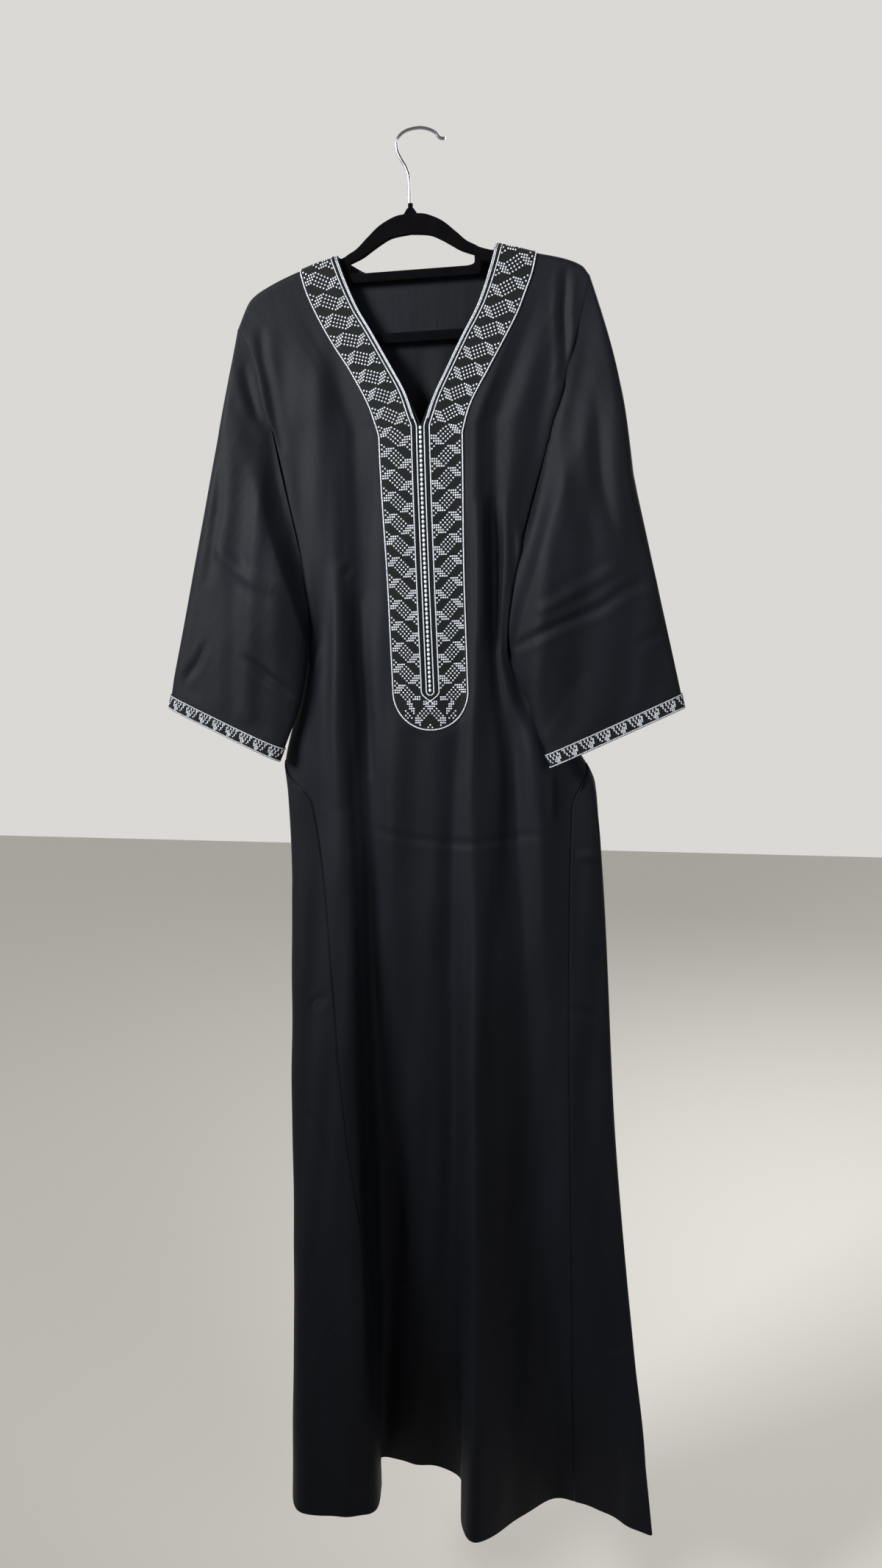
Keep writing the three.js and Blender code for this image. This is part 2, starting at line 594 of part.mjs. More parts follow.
function sleeve(name) {
  const size = SLEEVES[name];
  const outward = name === 'left' ? -1 : 1;
  const front = armholeEdge(-1, name);
  const back = armholeEdge(1, name);
  const rows = front.length;
  const shares = sharesAlong(front);
  const middlePoint = (a, b) => ({
    outer: a.outer.clone().add(b.outer).multiplyScalar(0.5),
    inner: a.inner.clone().add(b.inner).multiplyScalar(0.5),
  });

  // Once round: the underarm, up the front to the shoulder tip, and down the back.
  const ring = [{ at: middlePoint(front[0], back[0]), row: 0, face: 0 }];
  for (let i = 1; i < rows - 1; i++) ring.push({ at: front[i], row: i, face: -1 });
  ring.push({ at: middlePoint(front[rows - 1], back[rows - 1]), row: rows - 1, face: 0 });
  for (let i = rows - 2; i > 0; i--) ring.push({ at: back[i], row: i, face: 1 });

  const cuffAt = (share) => [
    lerp(size.cuffInner[0], size.cuffOuter[0], share),
    lerp(size.cuffInner[1], size.cuffOuter[1], share),
  ];
  const place = (item, t) => {
    const evenShare = (1 - Math.cos(Math.PI * item.row / (rows - 1))) / 2;
    const share = lerp(shares[item.row], evenShare, smooth(t / SLEEVE_SPREAD));
    const [cuffX, cuffDrop] = cuffAt(share);
    const swell = Math.sin(Math.PI * Math.min(1, t / size.swells));
    const rounded = size.headRound * share ** 4 - size.underRound * (1 - share) ** 4;
    const x = lerp(item.at.outer.x, cuffX, t) + outward * swell * rounded;
    const drop = lerp(-item.at.outer.z, cuffDrop, t);
    const half = t < 0.5 ? lerp(SLEEVE_HALF.armhole, SLEEVE_HALF.middle, t * 2)
      : lerp(SLEEVE_HALF.middle, SLEEVE_HALF.cuff, t * 2 - 1);
    const round = Math.sqrt(1 - Math.abs(2 * share - 1) ** 6);
    const middleY = lerp(-1, lerp(size.innerY, size.outerY, share), Math.sqrt(t));
    const roll = SLEEVE_BULGE * Math.exp(-(((share - BULGE_SHARE) / BULGE_SHARE) ** 2))
      * Math.sin(Math.PI * Math.min(1, t + 0.25));
    let y = middleY + item.face * half * round;
    if (item.face < 0) y -= roll * round;
    y = lerp(item.at.outer.y, y, smooth(t / SLEEVE_LEAVES));
    if (item.face >= 0 && drop > UNDERARM_DROP[name]) y = Math.min(y, bodyLimit(name, x, drop) - (item.face ? 0 : 3));
    return new THREE.Vector3(x, y, -drop);
  };

  const cloth = new Cloth();
  const firstRow = ring.map((item) => cloth.point(item.at.outer.clone(), item.at.inner.clone()));
  const grid = [firstRow];
  const steps = [...SLEEVE_ROWS, 'band', 1];
  for (const step of steps) {
    grid.push(ring.map((item) => {
      let t = step;
      if (step === 'band') {
        const length = place(item, 0).distanceTo(place(item, 1));
        t = 1 - CUFF_BAND / length;
      }
      return cloth.point(place(item, t), new THREE.Vector3());
    }));
  }
  const count = ring.length;
  for (let r = 0; r + 1 < grid.length; r++) {
    for (let k = 0; k < count; k++) {
      const next = (k + 1) % count;
      if (name === 'left') cloth.quad(grid[r][k], grid[r][next], grid[r + 1][next], grid[r + 1][k]);
      else cloth.quad(grid[r][k], grid[r + 1][k], grid[r + 1][next], grid[r][next]);
    }
  }
  const normals = outerNormals(cloth);
  for (let r = 1; r < grid.length; r++) {
    for (const v of grid[r]) cloth.inner[v] = cloth.outer[v].clone().addScaledVector(normals[v], -WALL);
  }
  return { cloth, grid, normals };
}

// Corner normals of a cloth's outer face, averaged over its quads.
function outerNormals(cloth) {
  const normals = cloth.outer.map(() => new THREE.Vector3());
  for (const quad of cloth.quads) {
    const [a, b, c, d] = quad.map((i) => cloth.outer[i]);
    const normal = c.clone().sub(a).cross(d.clone().sub(b));
    for (const i of quad) normals[i].add(normal);
  }
  return normals.map((normal) => normal.normalize());
}

function cuffBand(made) {
  const { cloth: base, grid, normals } = made;
  const cloth = new Cloth();
  const rows = grid.slice(-2).map((row) => row.map((v) => cloth.point(
    base.outer[v].clone().addScaledVector(normals[v], SEAM_GAP + BAND_THICK),
    base.outer[v].clone().addScaledVector(normals[v], SEAM_GAP),
  )));
  const lifted = new Map();
  grid.slice(-2).forEach((row, r) => row.forEach((v, k) => lifted.set(v, rows[r][k])));
  for (const quad of base.quads) if (quad.every((v) => lifted.has(v))) cloth.quad(...quad.map((v) => lifted.get(v)));
  return cloth;
}

// ---------------------------------------------------------------------------------------------------------
// Neck and placket band
// ---------------------------------------------------------------------------------------------------------

// The slit's line, which drifts a little to the right on its way down, and the band's half width beside it.
const slitX = (drop) => -1 + 7 * (Math.max(0, drop - CHEST_DROP) / (SLIT_END_DROP - CHEST_DROP)) ** 1.5;
const bandOuter = {
  left: through([135, 167, 187, 211, 235, 267, 312, 345], [-149, -141, -133, -121, -107, -86, -62, -51]),
  right: through([135, 165, 192, 212, 235, 272, 318, 345], [138, 132, 122, 114, 102, 81, 56, 48]),
};
const BAND_NECK_ROWS = [0, 1.2, 4, 9, 22, 45, 70, 98, 128, 158, 182];   // below the neck's shoulder point
const BAND_PLACKET_STEPS = 10;
const BAND_ROUND_STEPS = 7;
const NECK_INSET = 0.5;         // from the neck's edge, and from the slit, to the band's inner edge
const SLIT_INSET = 3.2;
const INSET_GROWS = { from: 290, to: 335 };                 // drops between which one inset becomes the other
const PLACKET_TOP = CHEST_DROP + 8;                         // the band runs straight down from here
const PLACKET_TOP_HALF = { left: 50, right: 49 };

// Stations down one side of the band: the inner and the outer edge's x and drop.
function bandStations(name) {
  const side = name === 'left' ? -1 : 1;
  const stations = [];
  const neckTop = shoulderDrop(NECK[name].x[0]);
  const outerTopX = bandOuter[name](135);
  const outerTop = shoulderDrop(outerTopX);
  const neckRun = PLACKET_TOP - neckTop;
  for (const below of BAND_NECK_ROWS) {
    const innerDrop = neckTop + below;
    const f = below / neckRun;
    const outerDrop = below <= 9 ? outerTop + below : lerp(outerTop, PLACKET_TOP, f * f * 0.25 + f * 0.75);
    const grown = smooth((innerDrop - INSET_GROWS.from) / (INSET_GROWS.to - INSET_GROWS.from));
    const inset = lerp(NECK_INSET, SLIT_INSET, grown);
    stations.push({
      inner: [neckX[name](innerDrop) + side * inset, innerDrop],
      outer: [bandOuter[name](outerDrop), outerDrop],
    });
  }
  for (let i = 0; i <= BAND_PLACKET_STEPS; i++) {
    const drop = lerp(PLACKET_TOP, SLIT_END_DROP, i / BAND_PLACKET_STEPS);
    const half = lerp(PLACKET_TOP_HALF[name], PLACKET_HALF, smooth(i / BAND_PLACKET_STEPS * 1.5));
    stations.push({ inner: [slitX(drop) + side * SLIT_INSET, drop], outer: [slitX(drop) + side * half, drop] });
  }
  for (let i = 1; i <= BAND_ROUND_STEPS; i++) {
    const angle = (Math.PI / 2) * (i / BAND_ROUND_STEPS);
    const around = (radius) => [
      slitX(SLIT_END_DROP) + side * radius * Math.cos(angle),
      SLIT_END_DROP + radius * Math.sin(angle),
    ];
    stations.push({ inner: around(SLIT_INSET), outer: around(PLACKET_HALF) });
  }
  return stations;
}

const BAND_PATH = (() => {
  const left = bandStations('left');
  const right = bandStations('right').reverse().slice(1);
  return [...left, ...right];
})();

// A strip along the band's path. Its columns are distances from the inner edge, with the height of the top
// over the panel at each, and a flat underside.
function bandStrip(columns, underside) {
  const cloth = new Cloth();
  let above = null;
  for (const { inner, outer } of BAND_PATH) {
    const width = Math.hypot(outer[0] - inner[0], outer[1] - inner[1]);
    const row = columns.map(({ from = 0, at, top }) => {
      const f = (from * width + at) / width;
      const x = lerp(inner[0], outer[0], f);
      const drop = lerp(inner[1], outer[1], f);
      const seated = Math.max(drop, shoulderDrop(x));
      return cloth.point(onCloth(-1, x, seated, top), onCloth(-1, x, seated, underside));
    });
    if (above) joinRows(cloth, row, above);
    above = row;
  }
  return cloth;
}

const BAND_TOP = BAND_LIFT + BAND_THICK;
const CORD_SEAT = BAND_TOP + SEAM_GAP;

function neckBand() {
  const columns = [0, 3.2, 8.6, 11, 24].map((at) => ({ at, top: BAND_TOP }));
  columns.push({ from: 1, at: 0, top: BAND_TOP });
  return bandStrip(columns, BAND_LIFT);
}

// A cord with a low rounded top. at is its near side, measured from the share "from" of the band's width.
function cord(from, at, width, height, seat) {
  return bandStrip([
    { from, at, top: seat + height * 0.4 },
    { from, at: at + width / 2, top: seat + height },
    { from, at: at + width, top: seat + height * 0.4 },
  ], seat);
}

// ---------------------------------------------------------------------------------------------------------
// Hanger
// ---------------------------------------------------------------------------------------------------------

// Half of the hanger's outline, measured from its middle: the arm's top and its underside.
const ARM_TOP = [
  [8, 91.6], [20, 93.6], [38, 102], [54, 115], [66, 125.5], [76, 131], [89, 136.8], [137, 149.8], [172, 163], [180, 168],
];
const ARM_UNDER = [[0, 114.5], [22, 117], [36, 123], [48, 130], [60, 137], [76, 143]];
const BAR = { top: 154, under: 165, postInner: 76, postOuter: 84 };
const TROUSER_BAR = { top: 224, under: 236, half: 140 };
const HANGER_BEVEL = 1.5;
const OUTLINE_STEPS = 2;
const COLLAR = [[2.6, 80], [2.6, 85], [4.2, 86]];            // the hook's socket, which the arms rise to

function hangerBody() {
  const outline = new THREE.Shape();
  const at = ([x, drop], side) => new THREE.Vector2(HANGER_X + side * x, -drop);
  const lineTo = (p, side) => outline.lineTo(HANGER_X + side * p[0], -p[1]);
  outline.moveTo(HANGER_X - COLLAR[0][0], -COLLAR[0][1]);
  for (const corner of [...COLLAR, ARM_TOP[0]]) lineTo(corner, 1);
  outline.splineThru(ARM_TOP.slice(1).map((p) => at(p, 1)));
  outline.quadraticCurveTo(HANGER_X + HANGER_HALF + 3, -178, HANGER_X + 174, -186);
  outline.quadraticCurveTo(HANGER_X + 158, -TROUSER_BAR.under, HANGER_X + TROUSER_BAR.half, -TROUSER_BAR.under);
  outline.lineTo(HANGER_X - TROUSER_BAR.half, -TROUSER_BAR.under);
  outline.quadraticCurveTo(HANGER_X - 158, -TROUSER_BAR.under, HANGER_X - 174, -186);
  outline.quadraticCurveTo(HANGER_X - HANGER_HALF - 3, -178, HANGER_X - 180, -168);
  outline.splineThru(ARM_TOP.slice(0, -1).reverse().map((p) => at(p, -1)));
  for (const corner of COLLAR.slice(1).reverse()) lineTo(corner, -1);
  outline.closePath();

  // Between the arch and the upper bar.
  const window = new THREE.Path();
  const under = [...ARM_UNDER.slice(1).reverse().map((p) => at(p, -1)), ...ARM_UNDER.map((p) => at(p, 1))];
  window.moveTo(under[0].x, under[0].y);
  window.splineThru(under.slice(1));
  window.lineTo(HANGER_X + BAR.postInner, -(BAR.top - 4));
  window.quadraticCurveTo(HANGER_X + BAR.postInner, -BAR.top, HANGER_X + BAR.postInner - 12, -BAR.top);
  window.lineTo(HANGER_X - BAR.postInner + 12, -BAR.top);
  window.quadraticCurveTo(HANGER_X - BAR.postInner, -BAR.top, HANGER_X - BAR.postInner, -(BAR.top - 4));
  window.closePath();

  // Below the arms and the upper bar, above the trouser bar.
  const lower = new THREE.Path();
  lower.moveTo(HANGER_X - BAR.postOuter, -150);
  lower.lineTo(HANGER_X - BAR.postOuter, -(BAR.under - 4));
  lower.quadraticCurveTo(HANGER_X - BAR.postOuter, -BAR.under, HANGER_X - BAR.postOuter + 6, -BAR.under);
  lower.lineTo(HANGER_X + BAR.postOuter - 6, -BAR.under);
  lower.quadraticCurveTo(HANGER_X + BAR.postOuter, -BAR.under, HANGER_X + BAR.postOuter, -(BAR.under - 4));
  lower.lineTo(HANGER_X + BAR.postOuter, -150);
  lower.lineTo(HANGER_X + 137, -163);
  lower.lineTo(HANGER_X + 162, -174);
  lower.quadraticCurveTo(HANGER_X + 150, -TROUSER_BAR.top, HANGER_X + 132, -TROUSER_BAR.top);
  lower.lineTo(HANGER_X - 132, -TROUSER_BAR.top);
  lower.quadraticCurveTo(HANGER_X - 150, -TROUSER_BAR.top, HANGER_X - 162, -174);
  lower.lineTo(HANGER_X - 137, -163);
  lower.closePath();

  const solid = new THREE.Shape(outline.getPoints(OUTLINE_STEPS).reverse());
  solid.holes.push(window, lower);
  const geometry = new THREE.ExtrudeGeometry(solid, {
    depth: HANGER_THICK - 2 * HANGER_BEVEL,
    bevelThickness: HANGER_BEVEL,
    bevelSize: HANGER_BEVEL,
    bevelOffset: -HANGER_BEVEL,
    bevelSegments: 1,
    curveSegments: OUTLINE_STEPS,
  });
  geometry.translate(0, 0, -(HANGER_THICK / 2 - HANGER_BEVEL));
  geometry.rotateX(Math.PI / 2);
  return geometry;
}

// The hook's wire, from the collar up, round over the rail and out to its tip. The seat is under its top.
const HOOK_POINTS = [
  [-13, 79.7], [-13, 62], [-13.5, 49], [-17, 39], [-23, 29], [-27, 19], [-26, 8], [-17.5, 0.8],
  [0, -WIRE / 2], [12.5, 1.2], [19.8, 5.6], [23.2, 10], [26.2, 12], [31, 12.3],
];

function hangerHook() {
  const path = new THREE.CatmullRomCurve3(
    HOOK_POINTS.map(([x, drop]) => new THREE.Vector3(x, 0, -drop)), false, 'centripetal',
  );
  const ring = new THREE.Shape();
  ring.absarc(0, 0, WIRE / 2, 0, 2 * Math.PI, false);
  return new THREE.ExtrudeGeometry(ring, { extrudePath: path, steps: 38, curveSegments: 4, bevelEnabled: false });
}

// ---------------------------------------------------------------------------------------------------------
// Assembly
// ---------------------------------------------------------------------------------------------------------

addMesh('front_panel', frontPanel().geometry(), 'cloth');
addMesh('back_panel', backPanel().geometry(), 'cloth');
for (const side of ['left', 'right']) {
  addMesh(`gore_${side}`, gore(side).geometry(), 'cloth');
  addMesh(`pocket_bag_${side}`, pocketBag(side).geometry(), 'lining');
  const made = sleeve(side);
  addMesh(`sleeve_${side}`, made.cloth.geometry(), 'cloth');
  addMesh(`cuff_band_${side}`, cuffBand(made).geometry(), 'embroidery');
}
addMesh('neck_band', neckBand().geometry(), 'embroidery');
addMesh('edge_cord', cord(0, 0.3, 2.2, 0.8, CORD_SEAT).geometry(), 'silver');
addMesh('outline_cord', cord(1, SEAM_GAP, 2.4, 1.6, BAND_LIFT).geometry(), 'silver');
addMesh('hanger_body', hangerBody(), 'flock');
addMesh('hanger_hook', hangerHook(), 'chrome');

export default group;
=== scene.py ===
"""A long thobe with an embroidered neck band, on a flocked hanger.

Sizes in the tables are millimetres. "Drop" is the distance below the hook's seat, so z = -drop. Left and right are
the viewer's. The tables for the garment's form are the ones that its solids are built from.
"""

import functools
import math

import bmesh
import bpy
import numpy as np
from mathutils import Matrix, Vector


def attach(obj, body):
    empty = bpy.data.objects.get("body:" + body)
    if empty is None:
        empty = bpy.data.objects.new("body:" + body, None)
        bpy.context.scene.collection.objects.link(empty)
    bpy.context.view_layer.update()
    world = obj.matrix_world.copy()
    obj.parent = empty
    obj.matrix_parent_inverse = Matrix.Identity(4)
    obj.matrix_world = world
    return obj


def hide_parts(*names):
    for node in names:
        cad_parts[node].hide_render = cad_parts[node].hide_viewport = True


bl_info = {
    "name": "Thobe on a hanger",
    "version": (1, 0, 0),
    "blender": (4, 5, 0),
    "location": "View3D > Sidebar > Thobe",
    "description": "Dresses a thobe's frame in creased cloth, stitched embroidery and a flocked hanger",
    "category": "Object",
}

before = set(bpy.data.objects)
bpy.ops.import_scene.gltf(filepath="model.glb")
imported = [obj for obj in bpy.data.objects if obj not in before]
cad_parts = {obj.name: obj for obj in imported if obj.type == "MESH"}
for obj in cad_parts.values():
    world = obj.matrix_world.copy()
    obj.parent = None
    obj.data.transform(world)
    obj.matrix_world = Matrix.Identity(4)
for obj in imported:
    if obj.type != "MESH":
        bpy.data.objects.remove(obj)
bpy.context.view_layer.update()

MM = 0.001
BODY = "root"

# ---------------------------------------------------------------------------------------------------------
# The garment's form, in millimetres
# ---------------------------------------------------------------------------------------------------------

SEAM_GAP = 0.3
YOKE_DEPTH = 8
YOKE_ROUND = 7
CHEST_DROP = 335
UNDERARM_DROP = {"left": 569, "right": 602}
ARMHOLE_TURN = 40
GORE_TOP = 742
HEM_DROP = 1740
SLIT_END_DROP = 653
PLACKET_HALF = 46
CUFF_BAND = 18
CUFF_MARGIN = 2.4       # between the cuff band's edges and its stitched field
BAND_LIFT = 0.6
BAND_THICK = 1.0
BAND_TOP = BAND_LIFT + BAND_THICK
HANGER_X = -12
HANGER_HALF = 182
HANGER_THICK = 6

SHOULDER = {
    "x": [-231, -213, -194, -149, -101, -6, 90, 135, 171, 190, 198],
    "drop": [208, 175, 163, 146, 133.5, 130, 133.5, 145.5, 155, 164, 174],
}
ARMHOLE = {
    "left": {"drop": [208, 241, 297, 335], "x": [-231, -213, -201, -190]},
    "right": {"drop": [174, 209, 269, 303, 335], "x": [198, 191, 175, 166, 156]},
}
NECK = {
    "left": {"drop": [133.5, 166, 195, 222, 257, 296, 335], "x": [-101, -89, -76, -60, -40, -18, -1]},
    "right": {"drop": [133.5, 154, 181, 201, 236, 277, 312, 335], "x": [90, 84, 75, 67, 48, 27, 9, -1]},
}
BACK_NECK = {"x": [-101, -60, -6, 50, 90], "drop": [133.5, 155, 161, 155, 133.5]}

FOLD_DROPS = [335, 600, 775, 1235, 1740]
FOLDS = [  # name, x at the five drops, y at the five drops
    ("left side front", [-190, -147, -184, -182, -174], [-9, -10, -8, -46, -117]),
    ("left flank", [-162, -134, -150, -140, -122], [-12, -15, -18, -58, -114]),
    ("left ridge", [-112, -114, -106, -98, -76], [-17, -24, -30, -60, -102]),
    ("left return", [-98, -98, -93, -86, -77], [-15, -18, -21, -36, -52]),
    ("left valley", [-84, -82, -80, -76, -90], [-12, -11, -12, -14, -6]),
    ("recess left", [-52, -50, -46, -32, -36], [-17, -19, -23, -19, -6]),
    ("middle", [-1, 4, 9, 0, -4], [-18, -21, -28, -22, -6]),
    ("recess right", [46, 48, 32, 26, 26], [-17, -19, -24, -22, -20]),
    ("centre left", [58, 57, 46, 46, 44], [-18, -22, -28, -54, -103]),
    ("centre ridge", [68, 65, 60, 63, 64], [-19, -24, -33, -68, -124]),
    ("centre crease", [77, 77, 87, 90, 99], [-15, -18, -24, -50, -98]),
    ("right valley", [87, 86, 108, 128, 157], [-12, -11, -12, -28, -34]),
    ("right ridge", [112, 92, 140, 160, 192], [-16, -14, -23, -37, -36]),
    ("right flank", [136, 97, 174, 204, 244], [-12, -12, -14, -40, -56]),
    ("right side front", [156, 101, 205, 236, 288], [-9, -10, -8, -42, -74]),
    ("right side back", [156, 102, 206, 234, 282], [8, 6, 4, -22, -56]),
    ("right flank back", [135, 92, 182, 205, 232], [10, 10, 9, 5, 2]),
    ("back right ridge", [105, 70, 125, 135, 150], [11, 12, 11, 10, 12]),
    ("back right valley", [60, 45, 75, 80, 85], [9, 10, 8, 5, 4]),
    ("back middle", [0, 0, 5, 10, 10], [11, 12, 12, 11, 13]),
    ("back left valley", [-60, -50, -55, -55, -60], [9, 9, 8, 7, 9]),
    ("back left ridge", [-120, -95, -120, -130, -140], [11, 12, 11, 12, 14]),
    ("left flank back", [-165, -132, -166, -182, -196], [10, 10, 9, 2, -30]),
    ("left side back", [-190, -148, -186, -191, -190], [8, 6, 4, -30, -98]),
]
FOLD_COUNT = len(FOLDS)
# How far the left side stands out behind the sleeve, and the share of it that each fold takes.
SIDE_OUT = {"drop": [569, 620, 680, 735, 785, 900], "out": [0, 6, 9, 9, 4, 0]}
SIDE_SHARE = {0: 1, 1: 0.6, 22: 0.6, 23: 1}
FRONT_LEFT, MIDDLE, FRONT_RIGHT, BACK_RIGHT, BACK_LEFT = 0, 6, 14, 15, 23

SEAMS = {
    "front_left": {"drop": [742, 765, 800, 1235, 1500, 1740], "fold": [-0.5, 0.3, 1, 1.7, 2.8, 4]},
    "front_right": {"drop": [742, 765, 800, 971, 1235, 1740], "fold": [14.5, 13.6, 13.1, 12.7, 12.45, 11.8]},
    "back_right": {"drop": [742, 800, 1235, 1740], "fold": [14.5, 15, 15.7, 16.2]},
    "back_left": {"drop": [742, 800, 1235, 1740], "fold": [23.5, 23, 22.3, 21.8]},
}
SLEEVES = {
    "left": {"cuff_inner": (-191, 741), "cuff_outer": (-345, 674), "inner_y": -30, "outer_y": -12,
             "head": 0, "under": 11, "swells": 1},
    "right": {"cuff_inner": (156, 745), "cuff_outer": (313, 674), "inner_y": -34, "outer_y": -14,
              "head": 8, "under": 5, "swells": 0.45},
}
ARMHOLE_SHIFT = 0.4
SLEEVE_HALF = {"armhole": 9, "middle": 13, "cuff": 9}
SLEEVE_BULGE = 12

BAND_OUTER = {
    "left": {"drop": [135, 167, 187, 211, 235, 267, 312, 345], "x": [-149, -141, -133, -121, -107, -86, -62, -51]},
    "right": {"drop": [135, 165, 192, 212, 235, 272, 318, 345], "x": [138, 132, 122, 114, 102, 81, 56, 48]},
}
NECK_INSET = 0.5
SLIT_INSET = 3.2

# Rows and columns of the cloth's own grid.
CAP_ROWS = np.array([0, 0.35, 0.9, 1.7, 2.8, 4.3, 6.3, 9])
YOKE_ROWS = np.linspace(0, 1, 39)[1:]
CHEST_ROWS = 1 - (1 - np.linspace(0, 1, 51)[1:]) ** 1.4
UNDERARM_ROWS = 15
LOWER_STEP = 5.0
FRONT_COLUMNS = ((5, 42), (11, 54), (None, 30))     # up to this fold, so many columns; the last ones end at the edge
BACK_COLUMNS = 100
BACK_NECK_COLUMNS = (25, 75)
GORE_COLUMNS = 60
EDGE_COLUMNS = (0.02, 0.05)                         # extra columns beside a seam, in folds
TABLE_STEP = 1.0                                    # of the lookup table for the body's depth

# ---------------------------------------------------------------------------------------------------------
# Creases: soft troughs (depth under 0) and ridges along a path of (x, drop)
# ---------------------------------------------------------------------------------------------------------

FRONT_CREASES = [  # width, depth, path
    (5, -2.4, [(171, 167), (170, 196), (169, 215), (171, 253), (171, 273), (167, 295)]),
    (4, -1.4, [(150, 369), (164, 357)]),
    (6, -2.0, [(-201, 208), (-199, 243), (-192, 280), (-186, 326), (-177, 357)]),
    (9, 2.6, [(-106, 489), (-112, 615), (-117, 708), (-115, 802)]),
    (8, -3.2, [(-87, 531), (-85, 614), (-80, 700), (-80, 764)]),
    (4, -1.2, [(-104, 510), (-92, 499)]),
    (7, 2.2, [(70, 425), (68, 599)]),
    (7, -2.6, [(86, 416), (90, 494), (91, 604)]),
    (4, 1.6, [(112, 443), (118, 490), (111, 600)]),
    (4, 1.3, [(154, 747), (157, 814)]),
    (4, -0.9, [(-78, 829), (-21, 839), (36, 843), (101, 837), (155, 827)]),
    (5, -1.3, [(-51, 1474), (6, 1453)]),
    (5, -1.2, [(56, 1527), (80, 1526)]),
    (5, -1.2, [(104, 1471), (132, 1455)]),
    (6, -1.6, [(-171, 1484), (-139, 1491), (-99, 1507)]),
    (6, -1.4, [(219, 1510), (259, 1476)]),
    (5, -1.4, [(-164, 1202), (-140, 1230), (-129, 1260)]),
    (5, 1.4, [(186, 857), (211, 859)]),
    (5, -1.1, [(-160, 1068), (-136, 1044)]),
    (5, -1.1, [(178, 1048), (212, 1061)]),
    (5, -1.3, [(-138, 588), (-159, 633), (-163, 656), (-181, 717)]),
]
BACK_CREASES = [
    (6, -2.2, [(-186, 200), (-181, 250), (-174, 310)]),
    (5, -2.0, [(160, 190), (158, 240), (150, 300)]),
    (8, 2.4, [(-92, 470), (-98, 600), (-104, 720), (-108, 800)]),
    (8, -2.6, [(-62, 500), (-60, 640), (-58, 760)]),
    (7, 2.2, [(66, 430), (62, 610), (70, 740)]),
    (7, -2.4, [(30, 520), (34, 690), (44, 830)]),
    (4, -0.9, [(-150, 835), (-70, 842), (10, 845), (90, 838), (160, 829)]),
    (5, -1.2, [(-70, 1466), (-12, 1448)]),
    (5, -1.2, [(60, 1500), (118, 1482)]),
    (5, -1.3, [(-130, 1180), (-96, 1208)]),
    (9, 1.8, [(-22, 900), (-16, 1150), (-20, 1400), (-14, 1600)]),
    (9, 1.8, [(112, 880), (122, 1150), (134, 1420)]),
]
SLEEVE_CREASES = {
    ("left", -1): [
        (6, -2.0, [(-225, 252), (-219, 279), (-209, 309), (-196, 329)]),
        (5, -2.0, [(-235, 607), (-203, 631), (-166, 660)]),
        (7, 1.6, [(-268, 470), (-232, 505), (-186, 528)]),
        (5, -1.4, [(-322, 640), (-300, 618), (-284, 590)]),
        (8, -1.6, [(-258, 330), (-262, 420), (-280, 520)]),
    ],
    ("right", -1): [
        (5, -2.0, [(108, 601), (165, 574), (212, 555), (243, 534), (275, 520)]),
        (4, -1.4, [(256, 597), (288, 583)]),
        (6, 1.5, [(140, 560), (190, 532), (236, 506)]),
        (8, -1.5, [(205, 300), (214, 400), (232, 480)]),
    ],
    ("left", 1): [
        (6, -1.8, [(-220, 270), (-230, 360), (-250, 450)]),
        (5, -1.8, [(-180, 600), (-220, 575), (-262, 560)]),
        (5, -1.3, [(-230, 670), (-270, 640), (-300, 628)]),
    ],
    ("right", 1): [
        (6, -1.8, [(190, 260), (202, 360), (222, 450)]),
        (5, -1.8, [(140, 610), (184, 588), (232, 566)]),
        (5, -1.3, [(196, 668), (240, 640), (272, 626)]),
    ],
}

# Slow waves that no cloth is without: across and down wavelengths, height, start, in millimetres and turns.
UNDULATION = [
    (62, 900, 0.55, 0.10),
    (41, 520, 0.32, 0.63),
    (97, 1400, 0.70, 0.34),
    (150, 210, 0.28, 0.81),
    (33, 330, 0.20, 0.22),
    (230, 120, 0.18, 0.47),
]

# ---------------------------------------------------------------------------------------------------------
# Embroidery
# ---------------------------------------------------------------------------------------------------------

# One repeat of the band's zigzag comb pattern: rows run down the band, columns from the slit outwards.
BAND_CHART = (
    ".#.....####.#",
    "#.....#.####.",
    ".....#.#.####",
    "....#.#.#.###",
    "...#.#.#.#...",
    "###.#.#.#....",
    "####.#.#.....",
    ".####.#.....#",
    "#.####.....#.",
)
LAST_ROW = 6            # the chart's row at the foot of the straight run
CHART_FOOT = 662.7      # and the drop of that row
PATTERN_BEND = 22.0     # reach over which the rows turn with the band
ABOVE_SHOULDER = 40.0   # how far the band's lines are drawn on, so slanted rows fill its top corner

# The pattern across the band's round end, from the middle outwards. Both halves are the same.
END_CHART = (
    "..##......##..",
    ".###.....###..",
    "###......##...",
    "##.#....###...",
    "#.#.#...##..#.",
    ".#.#.#..#..#..",
    "..#.#.#...#.#.",
    "...#.###.#.#..",
    "....####......",
    ".....###......",
    "#....#........",
    ".#............",
)
CUFF_CHART = (
    "##.#.#.#..",
    ".#.#.#.##.",
    ".#..#.#.#.",
    "..#.#.###.",
    "..#..####.",
    "...#.###..",
    "......##..",
)
INNER_LINE = 1.4        # distances from the band's inner edge
NECK_LINE = 3.2
BRAID_ROWS = (4.4, 5.9)
CHANNEL_LINE = 7.8
FIELD_START = 8.8
FIELD_MARGIN = 0.4      # between the field and the band's outer edge
OUTLINE_GAP = 1.5       # outside the band's outer edge
LOOP_DEPTH = 11.8       # how far the channel's line runs down to a point below the slit's end

# ---------------------------------------------------------------------------------------------------------
# Small maths
# ---------------------------------------------------------------------------------------------------------


def lerp(a, b, share):
    return a + (b - a) * share


